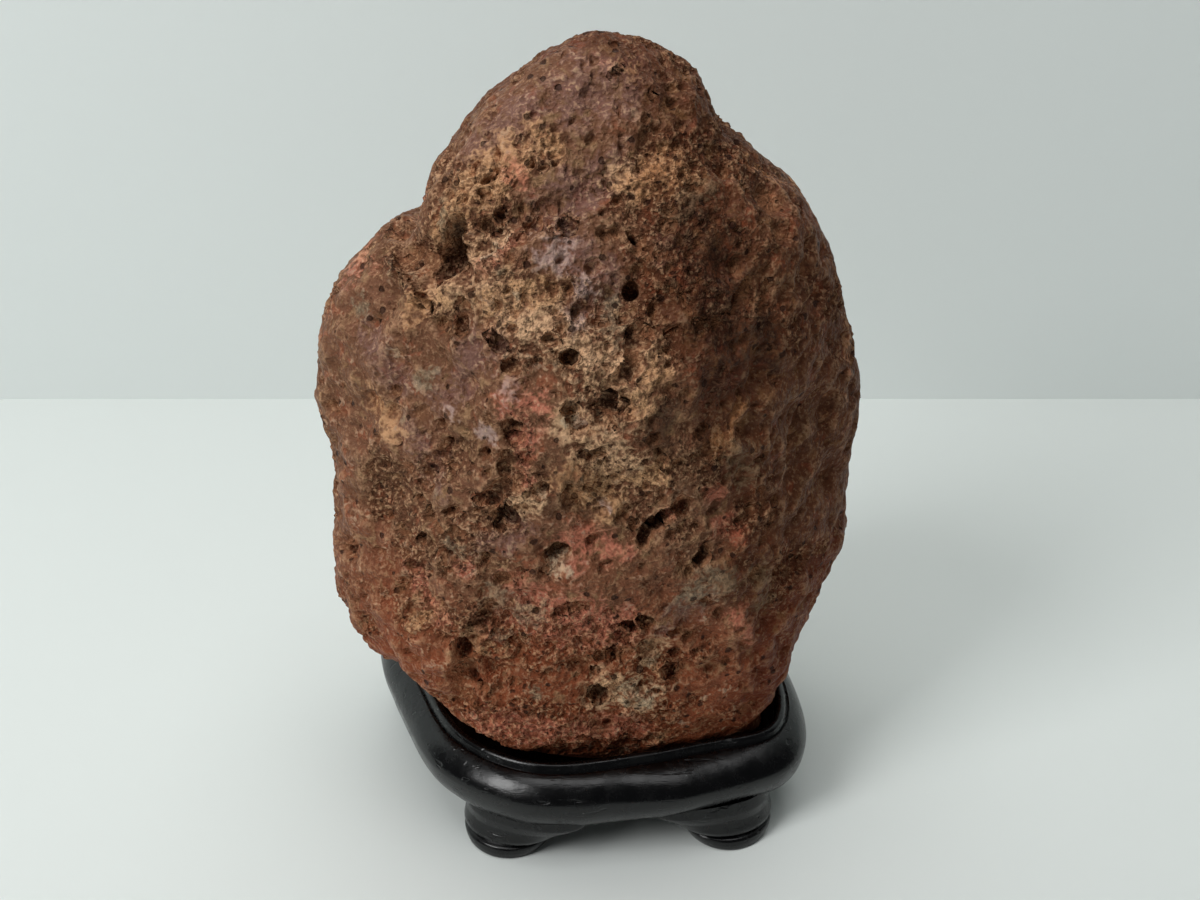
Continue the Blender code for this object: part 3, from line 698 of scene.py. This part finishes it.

# A hollow counts from HOLLOW_FROM mm deep and is full at HOLLOW_FULL. An edge counts as worn, and gets a
# painted highlight, where it stands above the average of the grid's points up to AROUND steps away.
hollow = np.clip((cut - fine - HOLLOW_FROM) / (HOLLOW_FULL - HOLLOW_FROM), 0, 1)
relief = (raised + fine).reshape(ways.shape[:2])
around = averaged(averaged(relief, AROUND), AROUND, axis=1)
masks = {
    "rubbed_and_highlit": ease(relief - around, 0.1, 0.55).ravel(),
    "broken": np.maximum(broken, 0.9 * ease(hollow, 0.05, 0.5)),
    "hollow": hollow,
    "redder": ease(broad[:, 2] + 26 * gradient_noise(broad, 22, 78), 88, 38),
    "painted_shade_flank": ease(past_line, -4, 6) * ease(broad[:, 1], 30, -10),
}
behind = ease(broad[:, 1], -26, -6)
for name, (_, _, (cell, seed, from_value, to_value), places) in MINERALS.items():
    on_back = 0.6 * behind * ease(gradient_noise(broad, cell, seed), from_value, to_value)
    masks[name] = np.maximum(patches(moved_far, places), on_back)
for name, values in masks.items():
    paint(stone, name, np.concatenate([values, values[[0, -1]]]))
print("masks:", sorted(masks))

# %% [markdown]
# ## Tools for materials
#
# Colours are written as the hex values that a paint program shows. Those are stored on a curve, so one
# function turns them to the linear light that the renderer adds up. One more function adds a node with its
# settings and its links, which keeps a whole material readable as a list.

# %% Colour and node tools
def linear(hex_value):
    """Linear red, green and blue and an alpha of 1 from an sRGB hex value: c / 12.92 up to 0.04045, and
    ((c + 0.055) / 1.055) ** 2.4 above."""
    channels = [int(hex_value[i:i + 2], 16) / 255 for i in (1, 3, 5)]
    return tuple(c / 12.92 if c <= 0.04045 else ((c + 0.055) / 1.055) ** 2.4 for c in channels) + (1.0,)


def add(tree, kind, settings=None, **inputs):
    """Adds a node, sets its properties, and fills each input named in inputs, with underscores for spaces:
    from an output socket by a link, or with a value. The names in_0, in_1 and so on are inputs by number."""
    node = tree.nodes.new(kind)
    for name, value in (settings or {}).items():
        setattr(node, name, value)
    for name, value in inputs.items():
        by_number = name.startswith("in_")
        socket = node.inputs[int(name[3:]) if by_number else name.replace("_", " ")]
        if isinstance(value, bpy.types.NodeSocket):
            tree.links.new(value, socket)
        else:
            socket.default_value = value
    return node


def blend(tree, share, first, second, way="MIX"):
    """Colour first where share is 0 and second where it is 1."""
    settings = {"data_type": "RGBA", "blend_type": way, "clamp_result": True}
    return add(tree, "ShaderNodeMix", settings, in_0=share, in_6=first, in_7=second).outputs[2]


def reckon(tree, way, *values):
    """One sum of the Math node on up to three values or sockets."""
    numbered = {f"in_{k}": value for k, value in enumerate(values)}
    return add(tree, "ShaderNodeMath", {"operation": way}, **numbered).outputs[0]


def between(tree, value, low, high, to_low=0.0, to_high=1.0):
    """value carried smoothly from low..high to to_low..to_high."""
    made = add(
        tree, "ShaderNodeMapRange", {"interpolation_type": "SMOOTHSTEP"},
        Value=value, From_Min=low, From_Max=high, To_Min=to_low, To_Max=to_high,
    )
    return made.outputs[0]


def press(tree, shader, *reliefs):
    """Bump from reliefs added up, each given as a pattern and its height in mm."""
    total = 0.0
    for pattern, height in reliefs:
        total = reckon(tree, "MULTIPLY_ADD", pattern, height, total)
    bump = add(tree, "ShaderNodeBump", Strength=1.0, Distance=MM, Height=total)
    tree.links.new(bump.outputs[0], shader.inputs["Normal"])


def new_material(name):
    """A material with its node tree, its shader, and object coordinates in millimetres."""
    material = bpy.data.materials.new(name)
    material.use_nodes = True
    tree = material.node_tree
    place = add(tree, "ShaderNodeTexCoord").outputs["Object"]
    in_mm = add(tree, "ShaderNodeVectorMath", {"operation": "SCALE"}, in_0=place, Scale=1 / MM)
    return material, tree, tree.nodes["Principled BSDF"], in_mm.outputs[0]


def noise(tree, place_mm, size, detail=2.0, rough=0.5, twist=0.0):
    """Noise from 0 to 1 with lumps of about size mm, in detail + 1 sizes, each half the last. rough is how
    much each smaller size counts, and twist bends the lumps."""
    made = add(
        tree, "ShaderNodeTexNoise",
        Vector=place_mm, Scale=1 / size, Detail=detail, Roughness=rough, Distortion=twist,
    )
    return made.outputs[0]


def cells(tree, place, size):
    """Cells of about size mm: the distance to the nearest middle, in cells, and two numbers it draws."""
    made = add(tree, "ShaderNodeTexVoronoi", Vector=place, Scale=1 / size)
    drawn = add(tree, "ShaderNodeSeparateColor", Color=made.outputs["Color"]).outputs
    return made.outputs["Distance"], drawn[0], drawn[1]


# %% [markdown]
# ## The stone's material
#
# A weathered volcanic rock: a fine brown matrix stained by iron, with its skin rubbed by hands into a
# faint satin. It has no coat, so it is rough and its reflection is set far below that of polished stone.
# What the eye reads as stone is the mixture at three sizes: patches of 5 to 20 mm, mottling of 2 to 4 mm,
# and sand grains, light and dark side by side, with painted shade in the gaps between them. The grains are
# strong on broken ground and faint on skin. Real grains are a quarter to half a millimetre, too fine to
# show in the render, so they are drawn at 0.9 mm. Pores smaller than the mesh can carry sit one to a cell,
# in cells of 1.3 and 2.6 mm, and each is pressed in and given painted shade. Raised edges are lighter,
# partly worn by rubbing and partly as a painted highlight. The floors of shallow pits are lightened
# with painted light, and deep hollows are made dark with painted shade.

# %% Weathered rock
SAND_SIZE = 0.9
SMALL_PORE_CELL, PORE_CELL = 1.3, 2.6


def weathered_rock():
    """The material of the stone. It reads the masks that were painted on the mesh."""
    material, tree, shader, place_mm = new_material("weathered_volcanic_rock")

    def mask(name):
        return add(tree, "ShaderNodeAttribute", {"attribute_name": name}).outputs["Fac"]

    def times(first, second):
        return reckon(tree, "MULTIPLY", first, second)

    def larger(first, second):
        return reckon(tree, "MAXIMUM", first, second)

    def by_ground(on_skin, on_broken):
        return between(tree, broken_here, 0, 1, on_skin, on_broken)

    def lay(colour, share, most, tint):
        """The colour with a tint laid over it, which covers at most the part given as most."""
        return blend(tree, times(share, most), colour, linear(tint))

    def pores(cell, least, widest, wall):
        """1 inside pores set one to a cell, falling to 0 over the wall. A cell whose number is below least
        has none, and the widest is a share of the cell."""
        away, drawn, _ = cells(tree, shaken, cell)
        size = between(tree, drawn, least, 1.0, 0.0, widest)
        return between(tree, reckon(tree, "SUBTRACT", away, size), 0.0, -wall)

    broken_here, hollow_here = mask("broken"), mask("hollow")
    cloud = noise(tree, place_mm, 9.0, 2.0, 0.55)
    mottle = noise(tree, place_mm, 2.9, 2.0, 0.6, 0.2)
    stain = noise(tree, place_mm, 4.3, 3.0, 0.6, 0.8)
    crumbs = noise(tree, place_mm, 1.1, 1.5, 0.6)
    grain = noise(tree, place_mm, 0.45, 1.0, 0.6)
    both = reckon(tree, "MULTIPLY_ADD", grain, 0.4, times(crumbs, 0.6))

    # Cells are drawn at places shaken by up to a millimetre, so that their edges are ragged
    shake = add(tree, "ShaderNodeTexNoise", Vector=place_mm, Scale=1 / 1.1, Detail=2.0).outputs["Color"]
    shaken = add(tree, "ShaderNodeVectorMath", {"operation": "ADD"}, in_0=shake, in_1=place_mm).outputs[0]
    sand_away, _, sand_drawn = cells(tree, shaken, SAND_SIZE)
    pale_sand = times(between(tree, sand_drawn, 0.5, 0.85), between(tree, sand_away, 0.5, 0.3))
    gaps = between(tree, sand_away, 0.5, 0.75)
    small_pores = times(pores(SMALL_PORE_CELL, 0.3, 0.36, 0.1), by_ground(0.3, 0.9))
    pore = larger(pores(PORE_CELL, 0.35, 0.3, 0.09), small_pores)

    # Matrix, iron stains and minerals, whose edges are torn by the mottling
    matrix_share = between(tree, cloud, 0.38, 0.62)
    skin = blend(tree, matrix_share, linear("#6F4A34"), linear("#774F39"))
    red_skin = blend(tree, matrix_share, linear("#804125"), linear("#89462A"))
    colour = blend(tree, mask("redder"), skin, red_skin)
    colour = lay(colour, between(tree, stain, 0.54, 0.68), 0.5, "#9E583C")
    colour = lay(colour, between(tree, stain, 0.44, 0.32), 0.5, "#A07E5A")
    ragged = between(tree, reckon(tree, "ADD", mottle, crumbs), 0.75, 1.25, -0.55, 0.25)
    ragged = reckon(tree, "ADD", ragged, between(tree, stain, 0.3, 0.7, -0.3, 0.15))
    # One of these tints, the dark crust, lays painted shade on the upper right and in the cave
    for name, (tint, most, _, _) in MINERALS.items():
        torn = reckon(tree, "ADD", mask(name), ragged)
        colour = lay(colour, between(tree, torn, 0.1, 1.0), most, tint)
    # Painted shade: the right flank's colour is multiplied darker, because that side faces away from the
    # light
    darkened = blend(tree, 1.0, colour, linear("#D2BCAA"), "MULTIPLY")
    colour = blend(tree, mask("painted_shade_flank"), colour, darkened)

    # Light and dark grain. The light grain is weaker on the dark crust and on the right flank, so that the
    # painted shade there stays dark.
    warm_light = blend(tree, 0.6, colour, linear("#EBBB90"))
    warm_dark = blend(tree, 0.75, colour, linear("#3A1B0E"))
    light_share = times(between(tree, both, 0.53, 0.61), by_ground(0.3, 0.62))
    # Raised edges are lighter: partly wear from rubbing, partly a painted highlight where light catches them
    light_share = larger(light_share, times(mask("rubbed_and_highlit"), between(tree, both, 0.4, 0.6, 0.05, 0.55)))
    light_share = larger(light_share, times(pale_sand, by_ground(0.12, 0.8)))
    light_share = times(light_share, between(tree, mask("painted_shade_and_crust"), 0.1, 0.8, 1.0, 0.45))
    light_share = times(light_share, between(tree, mask("painted_shade_flank"), 0.0, 1.0, 1.0, 0.75))
    dark_share = times(between(tree, both, 0.47, 0.39), by_ground(0.32, 0.55))
    # The gaps between sand grains are made darker: painted shade
    dark_share = larger(dark_share, times(gaps, by_ground(0.12, 0.62)))
    colour = blend(tree, light_share, colour, warm_light)
    colour = blend(tree, dark_share, colour, warm_dark)

    # Painted shade in pores, painted light on the floors of shallow pits, and painted shade in deep hollows
    colour = lay(colour, pore, 0.8, "#2A130A")
    painted_floor_light = times(between(tree, hollow_here, 0.1, 0.35), between(tree, hollow_here, 0.7, 0.45))
    colour = lay(colour, painted_floor_light, 0.25, "#C4875F")
    colour = lay(colour, between(tree, hollow_here, 0.5, 1.0), 0.5, "#34180C")
    tree.links.new(colour, shader.inputs["Base Color"])

    shine = reckon(tree, "ADD", by_ground(0.55, 0.8), between(tree, mottle, 0.3, 0.7, -0.06, 0.06))
    tree.links.new(shine, shader.inputs["Roughness"])
    shader.inputs["Specular IOR Level"].default_value = 0.12

    ground = ((crumbs, 0.7, 1.1), (sand_away, -0.06, -0.5), (grain, 0.15, 0.5))
    reliefs = [(pattern, by_ground(*heights)) for pattern, *heights in ground]
    press(tree, shader, *reliefs, (pore, -0.5), (mottle, 0.9))
    return material


stone.data.materials.append(weathered_rock())
print("stone material nodes:", len(stone.data.materials[0].node_tree.nodes))

# %% [markdown]
# ## The stand's body
#
# The stand is carved from one block of hardwood: a fat rounded moulding follows the stone's foot, a thin
# bead runs along its inner edge, and inside the bead a recess drops to the floor that holds the stone. It
# is a profile carried along a closed path. The path is the widest outline, and the profile is given by how
# far each of its points lies in from that outline and how high.

# %% Path and profile of the moulding
# The widest outline from above, (x, y), anticlockwise
RIM = (
    (50, -12), (48.6, 3), (46.0, 16), (39.5, 28), (27, 37), (6, 41.5), (-16, 42), (-35, 38.5),
    (-46.5, 30), (-51.8, 18), (-50.6, 8), (-46, -4), (-41.5, -14.5), (-37.9, -22.3), (-33.6, -29.0),
    (-27.2, -34.9), (-19.8, -39.3), (-12.0, -41.9), (-2, -42.3), (6, -41.2), (18, -40), (26, -37.8),
    (37.7, -33.5), (44.6, -29.3), (48.6, -22.5),
)

# Points round the rim, and how many to either side the bead's path is averaged over
RIM_STEPS, BEAD_SMOOTHING = 420, 9

# Heights of the moulding: its underside, its widest line, the top of its oval, and the quirk
UNDERSIDE, RIM_MIDDLE, OVAL_TOP, QUIRK = 9.0, 17.2, 22.4, 22.4

# How far short of the bead's middle the oval ends, and the power that flattens its shoulder
OVAL_INSET, SHOULDER = 1.4, 1.3

# The moulding's width, and the places (x, y) about which it is broader or slimmer, and by how much
MOULDING_WIDTH = 6.6
BROAD_PLACE, BROADER = np.array([24, -38]), 2.8
SLIM_PLACE, SLIMMER = np.array([50, -6]), 1.2
SPREAD = 18.0

# The bead's top and radius, the recess's floor and its fall towards the pocket, and the gaps left under
# the stone and round its foot
BEAD_TOP, BEAD_RADIUS = 23.8, 1.0
RECESS_FLOOR, FLOOR_FALL = 18.0, 0.4
SEAT_GAP, POCKET_GAP = 0.35, 0.9

# A distance from the middle that is outside the stone
FAR_OUT = 90


def rim_path(count):
    """Points at equal steps along the widest outline, and the direction square to it, inwards."""
    curve = closed_curve(RIM, 24)
    along = np.concatenate([[0], np.cumsum(np.linalg.norm(np.roll(curve, -1, 0) - curve, axis=1))])
    closed = np.vstack([curve, curve[:1]])
    at = np.linspace(0, along[-1], count, endpoint=False)
    points = np.stack([np.interp(at, along, closed[:, k]) for k in (0, 1)], axis=1)
    tangent = np.roll(points, -1, 0) - np.roll(points, 1, 0)
    tangent /= np.linalg.norm(tangent, axis=1)[:, None]
    return points, np.stack([-tangent[:, 1], tangent[:, 0]], axis=1)


def moulding_width(points):
    """Width from the widest line to the middle of the bead: broader at the front right, and slimmer at the
    right end."""
    from_broad = np.linalg.norm(points - BROAD_PLACE, axis=1) / SPREAD
    from_slim = np.linalg.norm(points - SLIM_PLACE, axis=1) / SPREAD
    return MOULDING_WIDTH + BROADER * np.exp(-from_broad ** 2) - SLIMMER * np.exp(-from_slim ** 2)


def moulding_profile():
    """The profile as rows of (share of the moulding's width, extra way in, height). The moulding is an
    oval, in = share (1 - cos a), up = h sin a, from straight down to 76 degrees up. Above its middle both
    functions are taken to the power SHOULDER, which flattens the shoulder, where the light catches it. A
    small quirk parts it from the bead, which is round; then the wall drops to the recess's floor with a
    fillet."""
    rows = []
    for angle in np.radians(np.linspace(-90, 76, 40)):
        power, drop = (1, RIM_MIDDLE - UNDERSIDE) if angle < 0 else (SHOULDER, OVAL_TOP - RIM_MIDDLE)
        turned = 1 - math.cos(angle) ** power
        up = math.copysign(abs(math.sin(angle)) ** power, angle)
        rows.append((turned, -OVAL_INSET * turned, RIM_MIDDLE + drop * up))
    rows += [(1, -1.9 * BEAD_RADIUS, QUIRK - 0.02), (1, -1.45 * BEAD_RADIUS, QUIRK - 0.22)]
    for angle in np.radians(np.linspace(165, 8, 12)):
        rows.append((1, BEAD_RADIUS * math.cos(angle), BEAD_TOP - BEAD_RADIUS * (1 - math.sin(angle))))
    rows += [(1, 1.12, BEAD_TOP - 1.5), (1, 1.2, 21.2), (1, 1.3, 20.2)]
    rows += [(1, 1.42, 19.2), (1, 1.6, 18.5), (1, 1.95, 18.1)]
    return np.array(rows)


def stone_ring(directions, height, gap):
    """The stone's level outline at a height, in each direction from the middle, moved out by a gap."""
    centre = np.column_stack([np.zeros((len(directions), 2)), np.full(len(directions), height)])
    ring = slide_in(centre + FAR_OUT * np.column_stack([directions, np.zeros(len(directions))]), centre)
    ring[:, :2] += gap * directions
    return ring


def stand_rings():
    """The rings of the stand's body, from the edge of its underside, out round the moulding, over the
    bead, across the recess's floor and down into the pocket, which follows the stone's own outline. The
    bead's path is an average over BEAD_SMOOTHING steps either side, so that it takes corners in a rounder
    sweep."""
    rim, inward = rim_path(RIM_STEPS)
    bead = averaged(rim + moulding_width(rim)[:, None] * inward, BEAD_SMOOTHING)
    rings = [
        np.column_stack([rim + share * (bead - rim) + extra * inward, np.full(RIM_STEPS, height)])
        for share, extra, height in moulding_profile()
    ]
    edge = bead + 2.2 * BEAD_RADIUS * inward
    directions = edge / np.linalg.norm(edge, axis=1)[:, None]
    floor_edge = np.column_stack([edge, np.full(RIM_STEPS, RECESS_FLOOR)])
    pocket_edge = stone_ring(directions, RECESS_FLOOR - FLOOR_FALL, POCKET_GAP)
    rings += [floor_edge + (pocket_edge - floor_edge) * share for share in (0, 0.5, 1)]
    base = stone_ring(directions, SEAT + 0.2, POCKET_GAP)
    base[:, 2] = SEAT - SEAT_GAP
    rings.append(base)
    return np.array(rings)


rings = stand_rings()
print("stand rings:", rings.shape[:2], "size in mm:", np.ptp(rings.reshape(-1, 3), axis=0).round(1))

# %% [markdown]
# ## The feet
#
# Each foot is carved in one piece with the body: a round pad on the table, a groove, a swelling neck, and
# a bracket that grows out of the neck to one side and runs up under the rim. Going up, each level outline
# is an oval whose one half keeps the pad's length while the other half grows into the bracket. A few
# stations give the sizes, and the levels between two stations are blended from them.

# %% Foot rings
# Centre (x, y), bearing the foot faces, and the side on which its bracket runs
FEET = ((-17.5, -30, -26, 1), (31, -27.5, 20, -1), (29, 24, 150, 1), (-34, 26.5, -148, -1))
FOOT_LONG, FOOT_DEEP = 10.6, 9.0
FOOT_POINTS, FOOT_LEVELS = 72, 64

# Height, share of the pad's length at its plain end, share of its depth, reach of the bracket
FOOT_STATIONS = np.array([
    (0.0, 0.86, 0.93, -2.4), (0.12, 0.90, 0.975, -2.0), (0.5, 0.925, 1.0, -1.6),
    (1.5, 0.965, 1.012, -1.0), (2.5, 0.985, 1.0, -0.5), (2.95, 0.985, 0.965, -0.3),
    (3.25, 0.985, 0.885, -0.2), (3.6, 0.995, 0.90, 0.2), (4.2, 1.0, 0.945, 0.9), (5.0, 0.995, 0.95, 2.0),
    (6.2, 0.975, 0.90, 3.6), (7.4, 0.95, 0.86, 5.4), (8.4, 0.93, 0.87, 7.2), (9.6, 0.93, 0.88, 8.8),
    (12.0, 0.90, 0.80, 9.0),
])


def foot_rings(x, y, bearing, side):
    """A foot's rings. At each height, a point at angle a lies along * L cos a + out * D sin a from the
    centre: D is the depth, and L is the plain length, or the length with the bracket where cos a is
    positive."""
    stations, last = FOOT_STATIONS[:, 0], len(FOOT_STATIONS) - 1
    heights = np.interp(np.linspace(0, 1, FOOT_LEVELS) * last, np.arange(last + 1), stations)
    plain, deep, bracket = (np.interp(heights, stations, FOOT_STATIONS[:, k]) for k in (1, 2, 3))
    turn = np.linspace(0, 2 * np.pi, FOOT_POINTS, endpoint=False)
    out = facing(bearing, 0)[:2]
    along = side * np.array([-out[1], out[0]])
    long = np.where(np.cos(turn) > 0, FOOT_LONG + bracket[:, None], FOOT_LONG * plain[:, None])
    outwards = (FOOT_DEEP * deep[:, None] * np.sin(turn))[..., None] * out
    flat = (long * np.cos(turn))[..., None] * along + outwards
    level = np.broadcast_to(heights[:, None, None], flat.shape[:2] + (1,))
    return np.concatenate([flat + (x, y), level], axis=2)[:, ::-side]


def tube_faces(rows, columns, first):
    """The quads, whose points are numbered from first, and a flat face at each end."""
    index, quads = ring_faces(rows, columns, first)
    return quads, np.stack([index[0][::-1], index[-1]])


# Height of the unevenness, and the angle in degrees from which an edge is drawn sharp
HAND_CUT, SHARP_ANGLE = 0.16, 55


def hand_cut(points, way):
    """The slight unevenness that a knife and rasp leave: noise 11 and 4 mm across, HAND_CUT high, along
    the way given for each point."""
    wave = gradient_noise(points, 11, 81) + 0.5 * gradient_noise(points, 4, 82)
    return points + HAND_CUT * wave[:, None] * way


body = rings.reshape(-1, 3)
outward = np.repeat(-rim_path(RIM_STEPS)[1][None], len(rings), axis=0).reshape(-1, 2)

# The recess's floor stays true, because the stone stands there
off_floor = ease(body[:, 2], RECESS_FLOOR, RECESS_FLOOR + 2)
off_floor += ease(body[:, 2], RECESS_FLOOR - 1, RECESS_FLOOR - 4)
outside = np.clip(off_floor, 0, 1)[:, None] * np.column_stack([outward, np.zeros(len(outward))])
point_sets, quad_sets, first = [hand_cut(body, outside)], [], len(body)
body_quads, body_caps = tube_faces(len(rings), RIM_STEPS, 0)
quad_sets.append(body_quads)
foot_caps = []
for foot in FEET:
    shape = foot_rings(*foot)
    quads, caps = tube_faces(FOOT_LEVELS, FOOT_POINTS, first)
    point_sets.append(shape.reshape(-1, 3))
    quad_sets.append(quads)
    foot_caps.append(caps)
    first += FOOT_LEVELS * FOOT_POINTS
cap_sets = (body_caps, np.vstack(foot_caps))
stand = fill_mesh("carved_stand", np.vstack(point_sets), np.vstack(quad_sets), *cap_sets)
stand.data.set_sharp_from_angle(angle=math.radians(SHARP_ANGLE))
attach(stand, "root")
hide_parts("stand")
print("stand:", len(stand.data.polygons), "faces")

# %% [markdown]
# ## Black lacquer
#
# Hardwood under black lacquer, rubbed down by hand: almost no colour of its own, so the eye reads it from
# its reflections. A fresh film mirrors about one part in 25 of the light that falls straight on it, and
# this old one a little less. Rubbing and years of handling leave it satin, with soft patches of more and
# less gloss a few millimetres across, fine scratches, small dents, and a thin veil and a few specks of
# dust.

# %% Lacquer material
# One speck of dust to a cell of this many mm, and the share of cells that have one
FLECK_CELL = 2.2
FEW_FLECKS = 0.16


def rubbed_lacquer():
    """The material of the stand. Scratches and dents are noise drawn out from left to right."""
    material, tree, shader, place_mm = new_material("rubbed_black_lacquer")
    patch = noise(tree, place_mm, 5.0, 3.0, 0.6)
    fine_dust = noise(tree, place_mm, 0.7, 2.0, 0.7)
    away, drawn, _ = cells(tree, place_mm, FLECK_CELL)
    few = reckon(tree, "LESS_THAN", drawn, FEW_FLECKS)
    fleck = reckon(tree, "MULTIPLY", between(tree, away, 0.10, 0.05), few)
    dull = reckon(tree, "MULTIPLY", between(tree, patch, 0.45, 0.7), between(tree, fine_dust, 0.45, 0.65))
    colour = blend(tree, reckon(tree, "MULTIPLY", dull, 0.4), linear("#010102"), linear("#121212"))
    colour = blend(tree, reckon(tree, "MULTIPLY", fleck, 0.6), colour, linear("#6F716E"))
    tree.links.new(colour, shader.inputs["Base Color"])
    shader.inputs["Specular IOR Level"].default_value = 0.4
    rough = between(tree, patch, 0.3, 0.7, 0.2, 0.3)
    rough = reckon(tree, "MULTIPLY_ADD", dull, 0.12, rough)
    tree.links.new(rough, shader.inputs["Roughness"])
    stretched = add(tree, "ShaderNodeMapping", Vector=place_mm, Scale=(0.18, 0.7, 1.0)).outputs[0]
    scratches = noise(tree, stretched, 0.5, 2.0, 0.7)
    dents = between(tree, noise(tree, stretched, 1.4, 1.0, 0.5, 0.5), 0.34, 0.26)
    press(tree, shader, (scratches, 0.035), (dents, -0.09), (patch, 0.05))
    return material


stand.data.materials.append(rubbed_lacquer())
print("stand material nodes:", len(stand.data.materials[0].node_tree.nodes))

# %% [markdown]
# ## Table, wall and light
#
# The object stands on a plain pale table against a plain wall. A soft light from the upper left, like a
# window, models the two planes of the stone: one bright, one dark. A wide light above, like a pale
# ceiling, and the dim room keep the dark side readable. The camera looks down on the object from close by,
# as the photographer did.

# %% Table and wall
# Metres: where the table ends at the wall, its front edge, and how far both reach to each side and up
TABLE_END = 0.205
TABLE_FRONT = -1.4
REACH = 1.6


def plain_paint(name, hex_value, rough):
    """A matt paint or laminate: one colour all over, which leaves the eye to the object."""
    material, _, shader, _ = new_material(name)
    shader.inputs["Base Color"].default_value = linear(hex_value)
    shader.inputs["Roughness"].default_value = rough
    return material


def stage_sheet(name, corners, material):
    """A flat four-cornered sheet."""
    mesh = bpy.data.meshes.new(name)
    mesh.from_pydata(corners, [], [(0, 1, 2, 3)])
    sheet = bpy.data.objects.new(name, mesh)
    bpy.context.scene.collection.objects.link(sheet)
    mesh.materials.append(material)
    sheet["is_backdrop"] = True


def seen_from_front(material):
    """Makes a sheet's back clear, so that the object can also be looked at from behind the wall."""
    tree = material.node_tree
    behind = add(tree, "ShaderNodeNewGeometry").outputs["Backfacing"]
    clear = add(tree, "ShaderNodeBsdfTransparent").outputs[0]
    painted = tree.nodes["Principled BSDF"].outputs[0]
    shown = add(tree, "ShaderNodeMixShader", in_0=behind, in_1=painted, in_2=clear).outputs[0]
    tree.links.new(shown, tree.nodes["Material Output"].inputs["Surface"])
    return material


laminate = plain_paint("pale_laminate", "#DFE4E1", 0.55)
wall_paint = seen_from_front(plain_paint("pale_wall_paint", "#EAF0EE", 0.8))
left_end, right_end = (-REACH, TABLE_END, 0), (REACH, TABLE_END, 0)
left_top, right_top = (-REACH, TABLE_END, REACH), (REACH, TABLE_END, REACH)
left_front, right_front = (-REACH, TABLE_FRONT, 0), (REACH, TABLE_FRONT, 0)
stage_sheet("table", [left_front, right_front, right_end, left_end], laminate)
stage_sheet("wall", [left_end, right_end, right_top, left_top], wall_paint)


# %% Lights, room and camera
# The height that the lights face, in metres, and the camera's angle down from the level, in degrees
LIGHT_AIM = 0.08
LOOK_DOWN = 26.7


def soft_light(name, bearing, tilt, distance, size, watts):
    """An area light of a size, wide by tall, at a distance from the object along a bearing and a tilt."""
    lamp = bpy.data.lights.new(name, "AREA")
    lamp.shape = "RECTANGLE"
    lamp.size, lamp.size_y = size
    lamp.energy = watts
    holder = bpy.data.objects.new(name, lamp)
    aim = Vector((0, 0, LIGHT_AIM))
    way = Vector(facing(bearing, tilt))
    holder.location = aim + distance * way
    holder.rotation_euler = (-way).to_track_quat("-Z", "Y").to_euler()
    bpy.context.scene.collection.objects.link(holder)


soft_light("window_light", -51, 40, 1.5, (0.5, 0.75), 12.4)
soft_light("ceiling_light", 0, 89, 1.1, (0.9, 0.9), 6.8)

# The pale room: dim where it lights the object, paler where the camera looks past the stage
world = bpy.data.worlds.new("pale_room")
world.use_nodes = True
room = world.node_tree
dim = add(room, "ShaderNodeBackground", Color=linear("#F2F6F8"), Strength=0.09).outputs[0]
pale = add(room, "ShaderNodeBackground", Color=linear("#C6CCCA"), Strength=1.0).outputs[0]
to_camera = add(room, "ShaderNodeLightPath").outputs["Is Camera Ray"]
room_light = add(room, "ShaderNodeMixShader", in_0=to_camera, in_1=dim, in_2=pale).outputs[0]
room.links.new(room_light, room.nodes["World Output"].inputs["Surface"])
bpy.context.scene.world = world
bpy.context.scene.view_settings.view_transform = "Standard"

camera = bpy.data.objects.new("camera", bpy.data.cameras.new("camera"))
camera.data.sensor_width = 36
camera.data.lens = 39
camera.data.clip_start = 0.01
camera.location = (0.0016, -0.2524, 0.208)
camera.rotation_euler = (math.radians(90 - LOOK_DOWN), 0, 0)
bpy.context.scene.collection.objects.link(camera)
bpy.context.scene.camera = camera
print("camera looks down by", LOOK_DOWN, "degrees from", round(-camera.location.y * 1000), "mm in front")

# %% Sizes
low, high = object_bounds()
past_low = [round(1000 * (a - b), 2) for a, b in zip(cad_low, low)]
past_high = [round(1000 * (b - a), 2) for a, b in zip(cad_high, high)]
print("past the solids' box in mm, low and high sides:", past_low, past_high)
